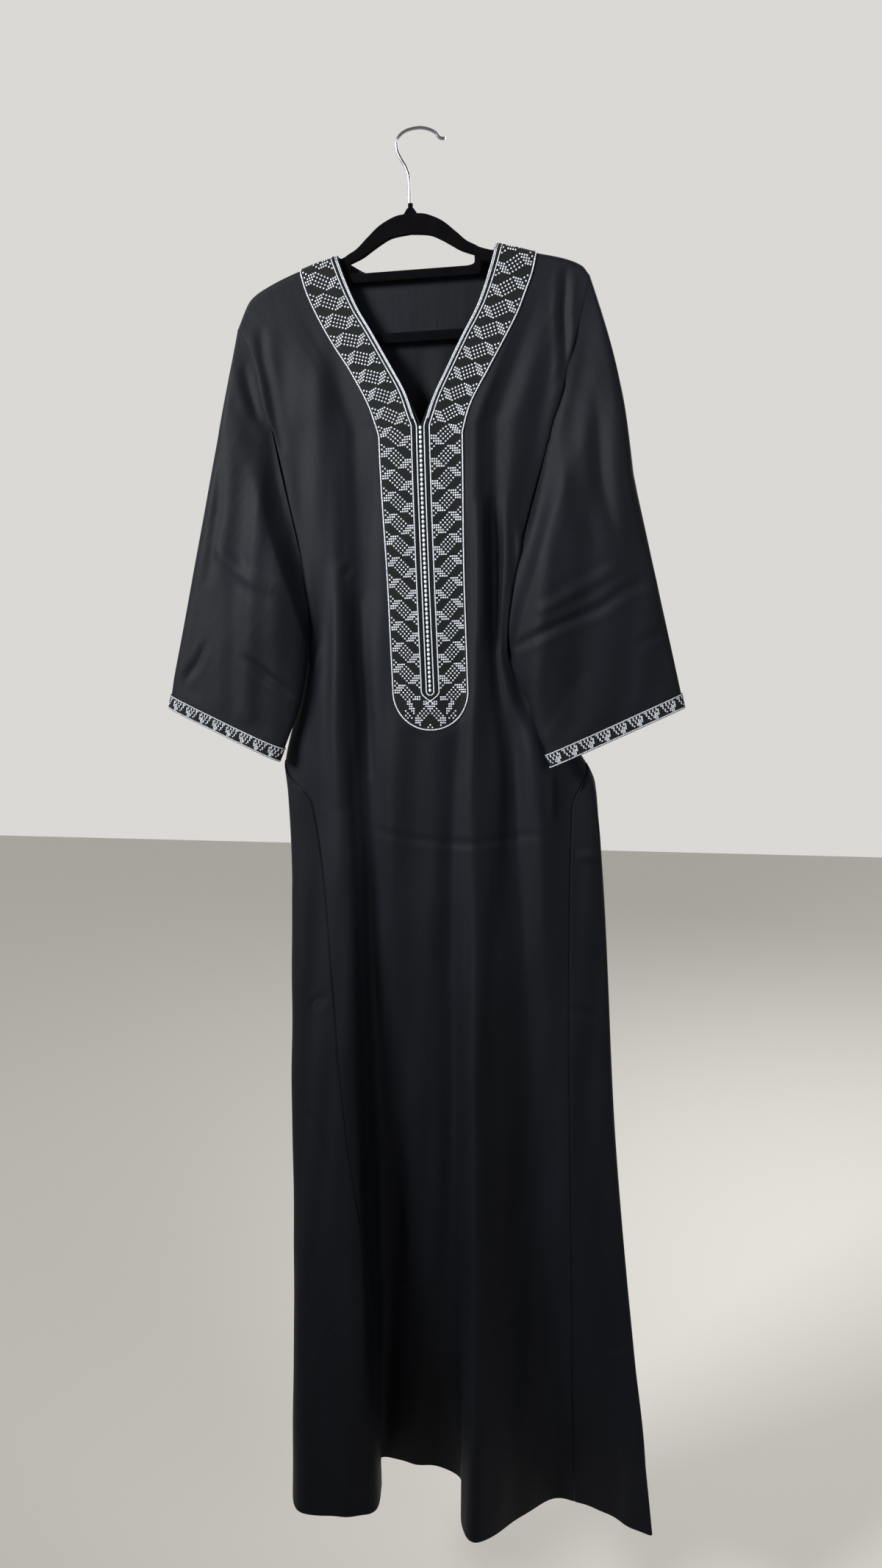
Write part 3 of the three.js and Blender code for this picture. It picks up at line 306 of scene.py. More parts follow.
def smooth(value):
    value = np.clip(value, 0, 1)
    return value * value * (3 - 2 * value)


def through(at, value):
    """A monotone cubic through (at, value), level outside its ends."""
    at = np.asarray(at, float)
    value = np.asarray(value, float)
    slope = np.diff(value) / np.diff(at)
    tangent = np.concatenate([slope[:1], np.zeros(len(slope) - 1), slope[-1:]])
    product = slope[:-1] * slope[1:]
    total = np.where(product > 0, slope[:-1] + slope[1:], 1)
    tangent[1:-1] = np.where(product > 0, 2 * product / total, 0)

    def value_at(x):
        x = np.clip(np.asarray(x, float), at[0], at[-1])
        i = np.clip(np.searchsorted(at, x, side="left") - 1, 0, len(at) - 2)
        span = at[i + 1] - at[i]
        f = (x - at[i]) / span
        g = 1 - f
        return (
            value[i] * g * g * (1 + 2 * f)
            + value[i + 1] * f * f * (3 - 2 * f)
            + span * f * g * (tangent[i] * g - tangent[i + 1] * f)
        )

    return value_at


def unit(vectors):
    return vectors / np.maximum(np.linalg.norm(vectors, axis=-1, keepdims=True), 1e-9)


shoulder_drop = through(SHOULDER["x"], SHOULDER["drop"])
back_neck_drop = through(BACK_NECK["x"], BACK_NECK["drop"])
armhole_x = {side: through(row["drop"], row["x"]) for side, row in ARMHOLE.items()}
neck_x = {side: through(row["drop"], row["x"]) for side, row in NECK.items()}
band_outer = {side: through(row["drop"], row["x"]) for side, row in BAND_OUTER.items()}
seam_fold = {name: through(row["drop"], row["fold"]) for name, row in SEAMS.items()}
side_out = through(SIDE_OUT["drop"], SIDE_OUT["out"])


def fold_line(number):
    """One fold's x against drop."""
    along = through(FOLD_DROPS, FOLDS[number][1])
    share = SIDE_SHARE.get(number, 0)
    return lambda drop: along(drop) - share * side_out(drop)


fold_x = [fold_line(number) for number in range(FOLD_COUNT)]
fold_y = [through(FOLD_DROPS, fold[2]) for fold in FOLDS]


def outward(side):
    return -1 if side == "left" else 1


# ---------------------------------------------------------------------------------------------------------
# The cloth's surface
# ---------------------------------------------------------------------------------------------------------


def body_point(fold, drop):
    """Points of the body at fold numbers and drops, on the smooth closed section through the folds."""
    fold, drop = np.broadcast_arrays(np.asarray(fold, float), np.asarray(drop, float))
    shape = fold.shape
    fold = np.mod(fold.ravel(), FOLD_COUNT)
    drop = drop.ravel()
    table = np.stack([[x(drop) for x in fold_x], [y(drop) for y in fold_y]], axis=-1)
    first = np.floor(fold).astype(int)
    share = (fold - first)[:, None]
    row = np.arange(len(fold))
    p = [table[(first + k) % FOLD_COUNT, row] for k in (-1, 0, 1, 2)]
    d0, d1, d2 = [np.sqrt(np.linalg.norm(p[k + 1] - p[k], axis=1))[:, None] for k in range(3)]
    start = ((p[1] - p[0]) / d0 - (p[2] - p[0]) / (d0 + d1) + (p[2] - p[1]) / d1) * d1
    end = ((p[2] - p[1]) / d1 - (p[3] - p[1]) / (d1 + d2) + (p[3] - p[2]) / d2) * d1
    bend = -3 * p[1] + 3 * p[2] - 2 * start - end
    twist = 2 * p[1] - 2 * p[2] + start + end
    flat = p[1] + share * (start + share * (bend + share * twist))
    return np.column_stack([flat, -drop]).reshape(*shape, 3)


def body_along(fold, drop):
    return unit(body_point(fold + 0.02, drop) - body_point(fold - 0.02, drop))


def body_normal(fold, drop):
    across = body_point(fold + 0.02, drop) - body_point(fold - 0.02, drop)
    up = body_point(fold, drop - 2) - body_point(fold, drop + 2)
    return unit(np.cross(across, up))


@functools.lru_cache(maxsize=None)
def chest_section(from_fold, to_fold):
    folds = np.linspace(from_fold, to_fold, 12 * abs(to_fold - from_fold) + 1)
    points = body_point(folds, np.full(folds.shape, float(CHEST_DROP)))
    order = np.argsort(points[:, 0])
    return points[order, 0], points[order, 1]


@functools.lru_cache(maxsize=None)
def section_table(from_fold, to_fold):
    """Depth of the section over an even grid of x and drop, between two folds where x runs one way."""
    folds = np.linspace(from_fold, to_fold, 16 * abs(to_fold - from_fold) + 1)
    drops = np.arange(CHEST_DROP, GORE_TOP + 10, TABLE_STEP)
    x_grid = np.arange(-200, 210, TABLE_STEP)
    rows = []
    for points in body_point(folds[None], drops[:, None]):
        order = np.argsort(points[:, 0])
        rows.append(np.interp(x_grid, points[order, 0], points[order, 1]))
    return x_grid[0], drops[0], np.array(rows)


def section_depth(x, drop, from_fold, to_fold):
    """The section's depth at x and drop, by a smooth lookup in the table."""
    first_x, first_drop, table = section_table(from_fold, to_fold)
    column = np.clip((x - first_x) / TABLE_STEP, 0, table.shape[1] - 1.001)
    row = np.clip((drop - first_drop) / TABLE_STEP, 0, table.shape[0] - 1.001)
    c, r = column.astype(int), row.astype(int)
    f, g = column - c, row - r
    upper = lerp(table[r, c], table[r, c + 1], f)
    lower = lerp(table[r + 1, c], table[r + 1, c + 1], f)
    return lerp(upper, lower, g)


def chest_x(side, x, drop):
    """Where the thread through x and drop crosses the chest. The front's threads fan out beside the V."""
    left, right = armhole_x["left"](drop), armhole_x["right"](drop)
    foot_left, foot_right = FOLDS[FRONT_LEFT][1][0], FOLDS[FRONT_RIGHT][1][0]
    if side > 0:
        return lerp(foot_left, foot_right, (x - left) / (right - left))
    middle = FOLDS[MIDDLE][1][0]
    on_left = (x - left) / (neck_x["left"](drop) - left)
    on_right = (x - right) / (neck_x["right"](drop) - right)
    left_x = lerp(foot_left, middle, np.minimum(on_left, 1))
    right_x = lerp(foot_right, middle, np.minimum(on_right, 1))
    return np.where(x < middle, left_x, right_x)


def cloth_depth(side, x, drop):
    """Depth of the front (side -1) or back (side +1). Above the chest the folds fade into a flat yoke."""
    x, drop = np.broadcast_arrays(np.asarray(x, float), np.asarray(drop, float))
    ends = (FRONT_LEFT, FRONT_RIGHT) if side < 0 else (BACK_RIGHT, BACK_LEFT)
    chest = np.interp(chest_x(side, x, np.minimum(drop, CHEST_DROP)), *chest_section(*ends))
    depth = lerp(side * YOKE_DEPTH, chest, smooth((drop - 170) / (CHEST_DROP - 170)))
    below = np.clip((drop - shoulder_drop(x)) / YOKE_ROUND, 0, 1)
    depth = lerp(side * SEAM_GAP / 2, depth, np.sqrt(1 - (1 - below) ** 2))
    low = drop >= CHEST_DROP
    if np.any(low):
        depth = np.array(depth)
        depth[low] = section_depth(x[low], drop[low], *ends)
    return depth


def on_cloth(side, x, drop, lift=0):
    """Points of the front or back at x and drop, lifted off the face."""
    x, drop = np.broadcast_arrays(np.asarray(x, float), np.asarray(drop, float))
    depth = cloth_depth(side, x, drop)
    below = drop - shoulder_drop(x)
    step = np.clip(below / 2, 0.005, 0.5)
    along_x = (cloth_depth(side, x + step, drop) - cloth_depth(side, x - step, drop)) / (2 * step)
    along_drop = (cloth_depth(side, x, drop + step) - cloth_depth(side, x, drop - step)) / (2 * step)
    normal = unit(np.stack([-side * along_x, np.full(x.shape, float(side)), side * along_drop], axis=-1))
    slope = (shoulder_drop(x + 1) - shoulder_drop(x - 1)) / 2
    crest = unit(np.stack([slope, np.zeros(x.shape), np.ones(x.shape)], axis=-1))
    normal = np.where((below < 0.01)[..., None], crest, normal)
    return np.stack([x, depth, -drop], axis=-1) + normal * np.asarray(lift)[..., None]


def edge_turn(drop, underarm):
    share = np.clip((drop - (underarm - ARMHOLE_TURN)) / ARMHOLE_TURN, 0, 1)
    return 0.5 * (1 - np.sqrt(1 - share * share))


def front_edges(drops):
    left = -edge_turn(drops[0], UNDERARM_DROP["left"])
    right = FRONT_RIGHT + edge_turn(drops[1], UNDERARM_DROP["right"])
    if drops[0] > GORE_TOP:
        left, right = seam_fold["front_left"](drops[0]), seam_fold["front_right"](drops[1])
    return float(left), float(right)


def back_edges(drops):
    left = BACK_LEFT + edge_turn(drops[0], UNDERARM_DROP["left"])
    right = BACK_RIGHT - edge_turn(drops[1], UNDERARM_DROP["right"])
    if drops[0] > GORE_TOP:
        left, right = seam_fold["back_left"](drops[0]), seam_fold["back_right"](drops[1])
    return float(left), float(right)


def lower_rows():
    """Drops at the left and right edges of each row below the chest."""
    left, right = UNDERARM_DROP["left"], UNDERARM_DROP["right"]
    rows = [(lerp(CHEST_DROP, left, f), lerp(CHEST_DROP, right, f)) for f in CHEST_ROWS]
    level = 655
    rows += [(lerp(left, level, f), lerp(right, level, f)) for f in np.linspace(0, 1, UNDERARM_ROWS + 1)[1:]]
    above = np.arange(level + LOWER_STEP, GORE_TOP, LOWER_STEP)
    below = np.linspace(GORE_TOP + 1, HEM_DROP, round((HEM_DROP - GORE_TOP) / LOWER_STEP))
    return rows + [(drop, drop) for drop in (*above, GORE_TOP, *below)]


def with_edges(folds):
    """Fold numbers with extra columns beside both ends, for the turned seams."""
    direction = np.sign(folds[-1] - folds[0])
    width = abs(folds[-1] - folds[0])
    near = [min(step, width * 0.1) * direction for step in EDGE_COLUMNS]
    return np.concatenate([folds[:1], folds[0] + near, folds[1:-1], folds[-1] - near[::-1], folds[-1:]])


def front_folds(left, right):
    folds = [np.array([left])]
    for fold, columns in FRONT_COLUMNS:
        folds.append(np.linspace(folds[-1][-1], right if fold is None else fold, columns + 1)[1:])
    return with_edges(np.concatenate(folds))


def yoke_drops(top):
    """Drops of the yoke's rows under points of the top edge; rows come first."""
    top = np.asarray(top, float)
    last = top + CAP_ROWS[-1]
    caps = [top + below for below in CAP_ROWS]
    return np.array(caps + [lerp(last, CHEST_DROP, share) for share in YOKE_ROWS])


# ---------------------------------------------------------------------------------------------------------
# Creases
# ---------------------------------------------------------------------------------------------------------


def crease_heights(creases, x, drop):
    """Height of the creases at x and drop. Each fades out towards both ends of its path."""
    height = np.zeros(x.shape)
    for width, depth, path in creases:
        path = np.array(path, float)
        lengths = np.linalg.norm(np.diff(path, axis=0), axis=1)
        total = lengths.sum()
        start = 0.0
        nearest = np.full(x.shape, 1e9)
        share = np.zeros(x.shape)
        for a, b, length in zip(path[:-1], path[1:], lengths):
            along = ((x - a[0]) * (b[0] - a[0]) + (drop - a[1]) * (b[1] - a[1])) / length**2
            along = np.clip(along, 0, 1)
            gap = np.hypot(x - lerp(a[0], b[0], along), drop - lerp(a[1], b[1], along))
            share = np.where(gap < nearest, (start + along * length) / total, share)
            nearest = np.minimum(nearest, gap)
            start += length
        fade = np.sqrt(np.clip(np.sin(np.pi * np.clip(share, 0, 1)), 0, 1))
        beside = nearest / width
        # A crease's trough has a low lip on both sides.
        height += depth * fade * (np.exp(-beside**2) - 0.28 * np.exp(-((beside - 2.1) ** 2)))
    return height


def undulation(x, drop):
    height = np.zeros(np.broadcast(x, drop).shape)
    for across, down, size, start in UNDULATION:
        height += size * np.sin(2 * np.pi * (x / across + drop / down + start))
    return height


def under_band(x, drop):
    """1 below the neck band, which keeps its cloth flat, fading to 0 beside it."""
    neck_left = np.where(drop < CHEST_DROP, neck_x["left"](drop), slit_x(drop))
    outer_left = np.where(drop < CHEST_DROP, band_outer["left"](drop), slit_x(drop) - PLACKET_HALF - 3)
    outer_right = np.where(drop < CHEST_DROP, band_outer["right"](drop), slit_x(drop) + PLACKET_HALF + 3)
    side = np.where(x < neck_left, outer_left - x, x - outer_right)
    past_end = np.where(drop > SLIT_END_DROP, np.hypot(x - slit_x(drop), drop - SLIT_END_DROP) - PLACKET_HALF, 0)
    gap = np.where(drop > SLIT_END_DROP, past_end, side)
    return 1 - smooth(gap / 14)


def relief(side, x, drop, creases):
    settings = bpy.context.scene.thobe_cloth
    waves = undulation(x + (0 if side < 0 else 300), drop)
    waves = waves * smooth((drop - 190) / 120)
    height = (crease_heights(creases, x, drop) + waves) * settings.crease_strength
    if side < 0:
        height = height * (1 - under_band(x, drop))
    return height


# ---------------------------------------------------------------------------------------------------------
# Sheets of cloth
# ---------------------------------------------------------------------------------------------------------


class Sheet:
    """Patches of quads. Closing it adds an inner face and turned edges, so it becomes one thin solid."""

    def __init__(self):
        self.points = []
        self.count = 0
        self.quads = []
        self.quad_uvs = []

    def add(self, points):
        rows, columns = points.shape[:2]
        index = self.count + np.arange(rows * columns).reshape(rows, columns)
        self.points.append(points.reshape(-1, 3))
        self.count += rows * columns
        return index

    def join(self, index, uvs, flip=False):
        """Quads over a grid of point numbers. Rows run down and columns to the right, seen from outside."""
        corners = [(slice(None, -1), slice(None, -1)), (slice(1, None), slice(None, -1))]
        corners += [(slice(1, None), slice(1, None)), (slice(None, -1), slice(1, None))]
        if flip:
            corners.reverse()
        self.quads.append(np.stack([index[c].ravel() for c in corners], axis=-1))
        self.quad_uvs.append(np.stack([uvs[c].reshape(-1, 2) for c in corners], axis=1))

    def normals(self, points, quads):
        across = points[quads[:, 2]] - points[quads[:, 0]]
        down = points[quads[:, 3]] - points[quads[:, 1]]
        normal = np.cross(across, down)
        total = np.zeros_like(points)
        for k in range(4):
            np.add.at(total, quads[:, k], normal)
        return unit(total)

    def mesh(self, name, wall, height=None):
        """The closed mesh, in metres. height gives each outer point's relief in millimetres."""
        points = np.concatenate(self.points)
        quads = np.concatenate(self.quads)
        uvs = np.concatenate(self.quad_uvs)
        normals = self.normals(points, quads)
        if height is not None:
            points = points + normals * height(points, normals)[:, None]
        inner = points - normals * wall
        count = len(points)

        starts = quads.ravel()
        ends = np.roll(quads, -1, axis=1).ravel()
        open_edge = ~np.isin(starts * count + ends, ends * count + starts)
        a, b = starts[open_edge], ends[open_edge]
        edge_uv = uvs.reshape(-1, 2)[open_edge]
        strips = np.stack([b, a, count + a, count + b], axis=-1)
        strip_uvs = np.repeat(edge_uv[:, None], 4, axis=1)

        faces = np.concatenate([quads, quads[:, ::-1] + count, strips])
        face_uvs = np.concatenate([uvs, uvs[:, ::-1], strip_uvs])
        mesh = bpy.data.meshes.new(name)
        mesh.from_pydata((np.concatenate([points, inner]) * MM).tolist(), [], faces.tolist())
        layer = mesh.uv_layers.new(name="cloth")
        layer.data.foreach_set("uv", (face_uvs * MM).astype(np.float32).ravel())
        mesh.shade_smooth()
        mesh.set_sharp_from_angle(angle=math.radians(55))
        return mesh


class Patch:
    """A ring of cloth to sew on: places on it are a distance round and a share of the way down."""

    def __init__(self, grid, flip):
        rows, columns = grid.shape[:2]
        sheet = Sheet()
        index = sheet.add(grid)
        sheet.join(np.concatenate([index, index[:, :1]], axis=1), np.zeros((rows, columns + 1, 2)), flip)
        normals = sheet.normals(grid.reshape(-1, 3), sheet.quads[0]).reshape(grid.shape)
        self.grid = np.concatenate([grid, grid[:, :1]], axis=1)
        self.normals = np.concatenate([normals, normals[:, :1]], axis=1)
        steps = np.linalg.norm(np.diff(self.grid[-1], axis=0), axis=1)
        self.lengths = np.concatenate([[0], np.cumsum(steps)])
        self.around = self.lengths[-1]

    def at(self, around, share, lift=0.0):
        """Points and normals at distances round the ring and shares of the way down."""
        column = np.interp(np.mod(around, self.around), self.lengths, np.arange(len(self.lengths)))
        row = np.clip(share, 0, 1) * (len(self.grid) - 1)
        c = np.minimum(column.astype(int), len(self.lengths) - 2)
        r = np.minimum(row.astype(int), len(self.grid) - 2)
        f, g = (column - c)[..., None], (row - r)[..., None]

        def blend(table):
            return lerp(lerp(table[r, c], table[r, c + 1], f), lerp(table[r + 1, c], table[r + 1, c + 1], f), g)

        normal = unit(blend(self.normals))
        return blend(self.grid) + normal * lift, normal


def place_mesh(mesh, *materials):
    piece = bpy.data.objects.new(mesh.name, mesh)
    bpy.context.collection.objects.link(piece)
    for material in materials:
        mesh.materials.append(material)
    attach(piece, BODY)
    return piece


def grid_uvs(points, middle=None):
    """Distances across and down a grid, so a weave keeps its size on the cloth."""
    across = np.linalg.norm(np.diff(points, axis=1), axis=-1)
    across = np.concatenate([np.zeros((len(points), 1)), np.cumsum(across, axis=1)], axis=1)
    if middle is not None:
        across = across - across[:, middle : middle + 1]
    down = np.linalg.norm(np.diff(points, axis=0), axis=-1).mean(axis=1)
    down = np.concatenate([[0], np.cumsum(down)])
    return np.stack([across, np.repeat(down[:, None], points.shape[1], axis=1)], axis=-1)


def body_row(folds, drops):
    """A row of body points, its ends half a seam gap inside each seam."""
    steps = np.linspace(0, 1, len(folds))
    row_drops = lerp(drops[0], drops[1], steps)
    points = body_point(folds, row_drops)
    along = body_along(np.array([folds[0], folds[-1]]), np.array(drops, float))
    direction = np.sign(folds[-1] - folds[0])
    if drops[0] >= UNDERARM_DROP["left"]:
        points[0] += along[0] * direction * SEAM_GAP / 2
    if drops[1] >= UNDERARM_DROP["right"]:
        points[-1] -= along[1] * direction * SEAM_GAP / 2
    return points


@functools.lru_cache(maxsize=None)
def front_grids():
    """The left and right shoulder parts down to the chest row, and the rows from the chest to the hem."""
    chest_folds = front_folds(FRONT_LEFT, FRONT_RIGHT)
    chest_row = body_row(chest_folds, (CHEST_DROP, CHEST_DROP))
    middle = int(np.argmin(abs(chest_folds - MIDDLE)))
    yokes = {}
    for name, part in (("left", slice(0, middle + 1)), ("right", slice(middle, None))):
        row_x = chest_row[part, 0]
        share = (row_x - row_x[0]) / (row_x[-1] - row_x[0])
        to_neck = share if name == "left" else 1 - share
        tip = SHOULDER["x"][0] if name == "left" else SHOULDER["x"][-1]
        neck = NECK[name]["x"][0]
        tip_drops = yoke_drops(shoulder_drop(tip))
        neck_drops = yoke_drops(shoulder_drop(neck))
        drops = yoke_drops(shoulder_drop(lerp(tip, neck, to_neck)))
        x = lerp(armhole_x[name](tip_drops)[:, None], neck_x[name](neck_drops)[:, None], to_neck[None])
        grid = on_cloth(-1, x, np.maximum(drops, shoulder_drop(x)))
        grid[-1] = chest_row[part]
        yokes[name] = grid
    lower = [chest_row]
    for drops in lower_rows():
        lower.append(body_row(front_folds(*front_edges(drops)), drops))
    return yokes, np.array(lower), middle


@functools.lru_cache(maxsize=None)
def back_grid():
    """The whole back, from the shoulder and back neck to the hem, left edge first."""
    columns = BACK_COLUMNS
    start, stop = BACK_NECK_COLUMNS
    k = np.arange(columns + 1)
    tip_left, tip_right = SHOULDER["x"][0], SHOULDER["x"][-1]
    corner_left, corner_right = NECK["left"]["x"][0], NECK["right"]["x"][0]
    inside = (1 - np.cos(np.pi * np.clip((k - start) / (stop - start), 0, 1))) / 2
    top_x = np.where(k <= start, lerp(tip_left, corner_left, k / start), lerp(corner_left, corner_right, inside))
    top_x = np.where(k > stop, lerp(corner_right, tip_right, (k - stop) / (columns - stop)), top_x)
    top = np.where((k > start) & (k < stop), back_neck_drop(top_x), shoulder_drop(top_x))
    folds = np.linspace(BACK_LEFT, BACK_RIGHT, columns + 1)
    drops = yoke_drops(top)
    fade = (drops - top) / (CHEST_DROP - top)
    x = lerp(top_x, body_point(folds, CHEST_DROP)[:, 0], fade)
    x[:, 0] = armhole_x["left"](drops[:, 0])
    x[:, -1] = armhole_x["right"](drops[:, -1])
    yoke = on_cloth(1, x, np.maximum(drops, shoulder_drop(x)))
    yoke[-1] = body_point(folds, CHEST_DROP)
    rows = list(yoke)
    for drops in lower_rows():
        rows.append(body_row(np.linspace(*back_edges(drops), columns + 1), drops))
    return np.array(rows)


def armhole_edge(face, name):
    """The armhole's edge on the front (-1) or back (+1) grid, from the underarm up to the shoulder tip."""
    column = 0 if name == "left" else -1
    rows = len(CAP_ROWS) + len(YOKE_ROWS) + len(CHEST_ROWS)
    if face < 0:
        yokes, lower, _ = front_grids()
        edge = np.concatenate([yokes[name][:, column], lower[1:, column]])[:rows]
    else:
        edge = back_grid()[:rows, column]
    edge = edge[::-1].copy()
    edge[:, 0] += outward(name) * ARMHOLE_SHIFT
    return edge


SLEEVE_SPREAD = 0.3  # share of the length in which the armhole's points spread out evenly
SLEEVE_LEAVES = 0.22  # share of the length in which the sleeve leaves the armhole's own depth
BULGE_SHARE = 0.22  # the bulge's place on the way from the underarm to the shoulder, and its spread
BODY_CLEAR = 3  # how far the sleeve stays in front of the body; its end points stay twice as far


def body_limit(name, x, drop):
    """The sleeve stays in front of the body where the two overlap."""
    edge = body_point(np.full(drop.shape, float(FRONT_LEFT if name == "left" else FRONT_RIGHT)), drop)
    past = (x - edge[..., 0]) * outward(name)
    beside = edge[..., 1] - BODY_CLEAR + past * 0.9
    over = section_depth(x, drop, FRONT_LEFT, FRONT_RIGHT) - BODY_CLEAR
    return np.where(past > 0, beside, over)


@functools.lru_cache(maxsize=None)
def sleeve_ring(name):
    """Once round the armhole: the underarm, up the front and down the back, with each point's share and face."""
    front, back = armhole_edge(-1, name), armhole_edge(1, name)
    lengths = np.concatenate([[0], np.cumsum(np.linalg.norm(np.diff(front, axis=0), axis=1))])
    shares = lengths / lengths[-1]
    even = (1 - np.cos(np.pi * coarse_row(name, shares))) / 2
    ring = np.concatenate([[(front[0] + back[0]) / 2], front[1:-1], [(front[-1] + back[-1]) / 2], back[-2:0:-1]])
    n = len(front)
    rows = np.concatenate([np.arange(n), np.arange(n - 2, 0, -1)])
    face = np.concatenate([[0], -np.ones(n - 2), [0], np.ones(n - 2)])
    return ring, shares[rows], even[rows], face


def sleeve_points(name, t):
    """Points of the sleeve's outer face, t of the way from the armhole to the cuff, for every point of the ring."""
    size = SLEEVES[name]
    ring, shares, even, face = sleeve_ring(name)
    share = lerp(shares, even, smooth(t / SLEEVE_SPREAD))
    inner, outer = size["cuff_inner"], size["cuff_outer"]
    swell = outward(name) * np.sin(np.pi * np.minimum(1, t / size["swells"]))
    rounded = size["head"] * share**4 - size["under"] * (1 - share) ** 4
    x = lerp(ring[:, 0], lerp(inner[0], outer[0], share), t) + swell * rounded
    drop = lerp(-ring[:, 2], lerp(inner[1], outer[1], share), t)
    first = lerp(SLEEVE_HALF["armhole"], SLEEVE_HALF["middle"], t * 2)
    second = lerp(SLEEVE_HALF["middle"], SLEEVE_HALF["cuff"], t * 2 - 1)
    half = np.where(t < 0.5, first, second)
    round_off = np.sqrt(1 - abs(2 * share - 1) ** 6)
    middle_y = lerp(-1, lerp(size["inner_y"], size["outer_y"], share), np.sqrt(t))
    bulge = np.exp(-(((share - BULGE_SHARE) / BULGE_SHARE) ** 2))
    roll = SLEEVE_BULGE * bulge * np.sin(np.pi * np.minimum(1, t + 0.25))
    y = middle_y + face * half * round_off - np.where(face < 0, roll * round_off, 0)
    y = lerp(ring[:, 1], y, smooth(t / SLEEVE_LEAVES))
    limit = body_limit(name, x, drop) - np.where(face == 0, BODY_CLEAR, 0)
    y = np.where((face >= 0) & (drop > UNDERARM_DROP[name]), np.minimum(y, limit), y)
    return np.stack([x, y, -drop], axis=-1)


@functools.lru_cache(maxsize=None)
def sleeve_grid(name):
    steps = np.concatenate([np.linspace(0, 0.06, 5), np.linspace(0.06, 1, 70)[1:]])
    grid = sleeve_points(name, steps[:, None])
    grid[0] = sleeve_ring(name)[0]
    return grid


@functools.lru_cache(maxsize=None)
def cuff_patch(name):
    """The sleeve's last stretch below the cuff band, as points and normals. Rows run down to the sleeve's end."""
    ring = sleeve_ring(name)[0]
    lengths = np.linalg.norm(sleeve_points(name, np.ones((1, 1)))[0] - ring, axis=1)
    start = 1 - CUFF_BAND / lengths
    t = lerp(start[None], 1, np.linspace(0, 1, 11)[:, None])
    return Patch(sleeve_points(name, t), flip=name == "left")


def coarse_row(name, shares):
    """Even places round the cuff for the armhole's points: rows crowd at the shoulder tip and the underarm."""
    cap = [0, 1.2, 4, 9]
    yoke = [0.18, 0.36, 0.54, 0.7, 0.85]
    chest = [0, 0.2, 0.4, 0.6, 0.78, 0.89, 0.965, 1]
    tip = float(shoulder_drop(SHOULDER["x"][0] if name == "left" else SHOULDER["x"][-1]))
    drops = [tip + below for below in cap]
    drops += [lerp(tip + cap[-1], CHEST_DROP, f) for f in yoke]
    drops += [lerp(CHEST_DROP, UNDERARM_DROP[name], f) for f in chest]
    edge = armhole_edge(-1, name)
    lengths = np.concatenate([[0], np.cumsum(np.linalg.norm(np.diff(edge, axis=0), axis=1))])
    at = np.interp(drops, -edge[::-1, 2], (lengths / lengths[-1])[::-1])[::-1]
    return through(at, np.linspace(0, 1, len(at)))(shares)


def slit_x(drop):
    share = np.maximum(0, np.asarray(drop, float) - CHEST_DROP) / (SLIT_END_DROP - CHEST_DROP)
    return -1 + 7 * np.minimum(share, 1.0) ** 1.5


def relief_of(side, creases, dip=None):
    """A height function for a sheet: creases on the faces that look out, and dips along seams."""

    def height(points, normals):
        facing = smooth(normals[:, 1] * side * 1.6)
        value = relief(side, points[:, 0], -points[:, 2], creases) * facing
        if dip is not None:
            value = value + dip
        return value

    return height


SEAM_DIPS = np.array([-0.9, -0.35, -0.06])  # how far the cloth's first columns dip beside a seam


def column_dip(rows, columns):
    """Dips for a grid's first and last columns, by column number."""
    k = np.arange(columns)
    from_edge = np.minimum(k, columns - 1 - k)
    values = np.where(from_edge < len(SEAM_DIPS), SEAM_DIPS[np.minimum(from_edge, len(SEAM_DIPS) - 1)], 0)
    return np.tile(values, rows)


# ---------------------------------------------------------------------------------------------------------
# Materials
# ---------------------------------------------------------------------------------------------------------


def linear(hex_colour):
    """An sRGB hex colour as linear RGBA."""
    channels = [int(hex_colour[i : i + 2], 16) / 255 for i in (1, 3, 5)]
    return (*[c / 12.92 if c <= 0.04045 else ((c + 0.055) / 1.055) ** 2.4 for c in channels], 1.0)


def add_node(tree, kind, settings=None, **inputs):
    """Adds a node. settings are its properties; inputs are socket values, or sockets to link from."""
    node = tree.nodes.new(kind)
    for key, value in (settings or {}).items():
        setattr(node, key, value)
    for key, value in inputs.items():
        number = key[1:]
        by_number = key[0] == "i" and number.isdigit()
        socket = node.inputs[int(number) if by_number else key.replace("_", " ")]
        if isinstance(value, bpy.types.NodeSocket):
            tree.links.new(value, socket)
        else:
            socket.default_value = value
    return node


def new_material(name):
    material = bpy.data.materials.new(name)
    material.use_nodes = True
    tree = material.node_tree
    tree.nodes.clear()
    shader = add_node(tree, "ShaderNodeBsdfPrincipled")
    output = add_node(tree, "ShaderNodeOutputMaterial")
    tree.links.new(shader.outputs[0], output.inputs[0])
    return material, tree, shader


def set_inputs(node, **values):
    for key, value in values.items():
        node.inputs[key.replace("_", " ")].default_value = value


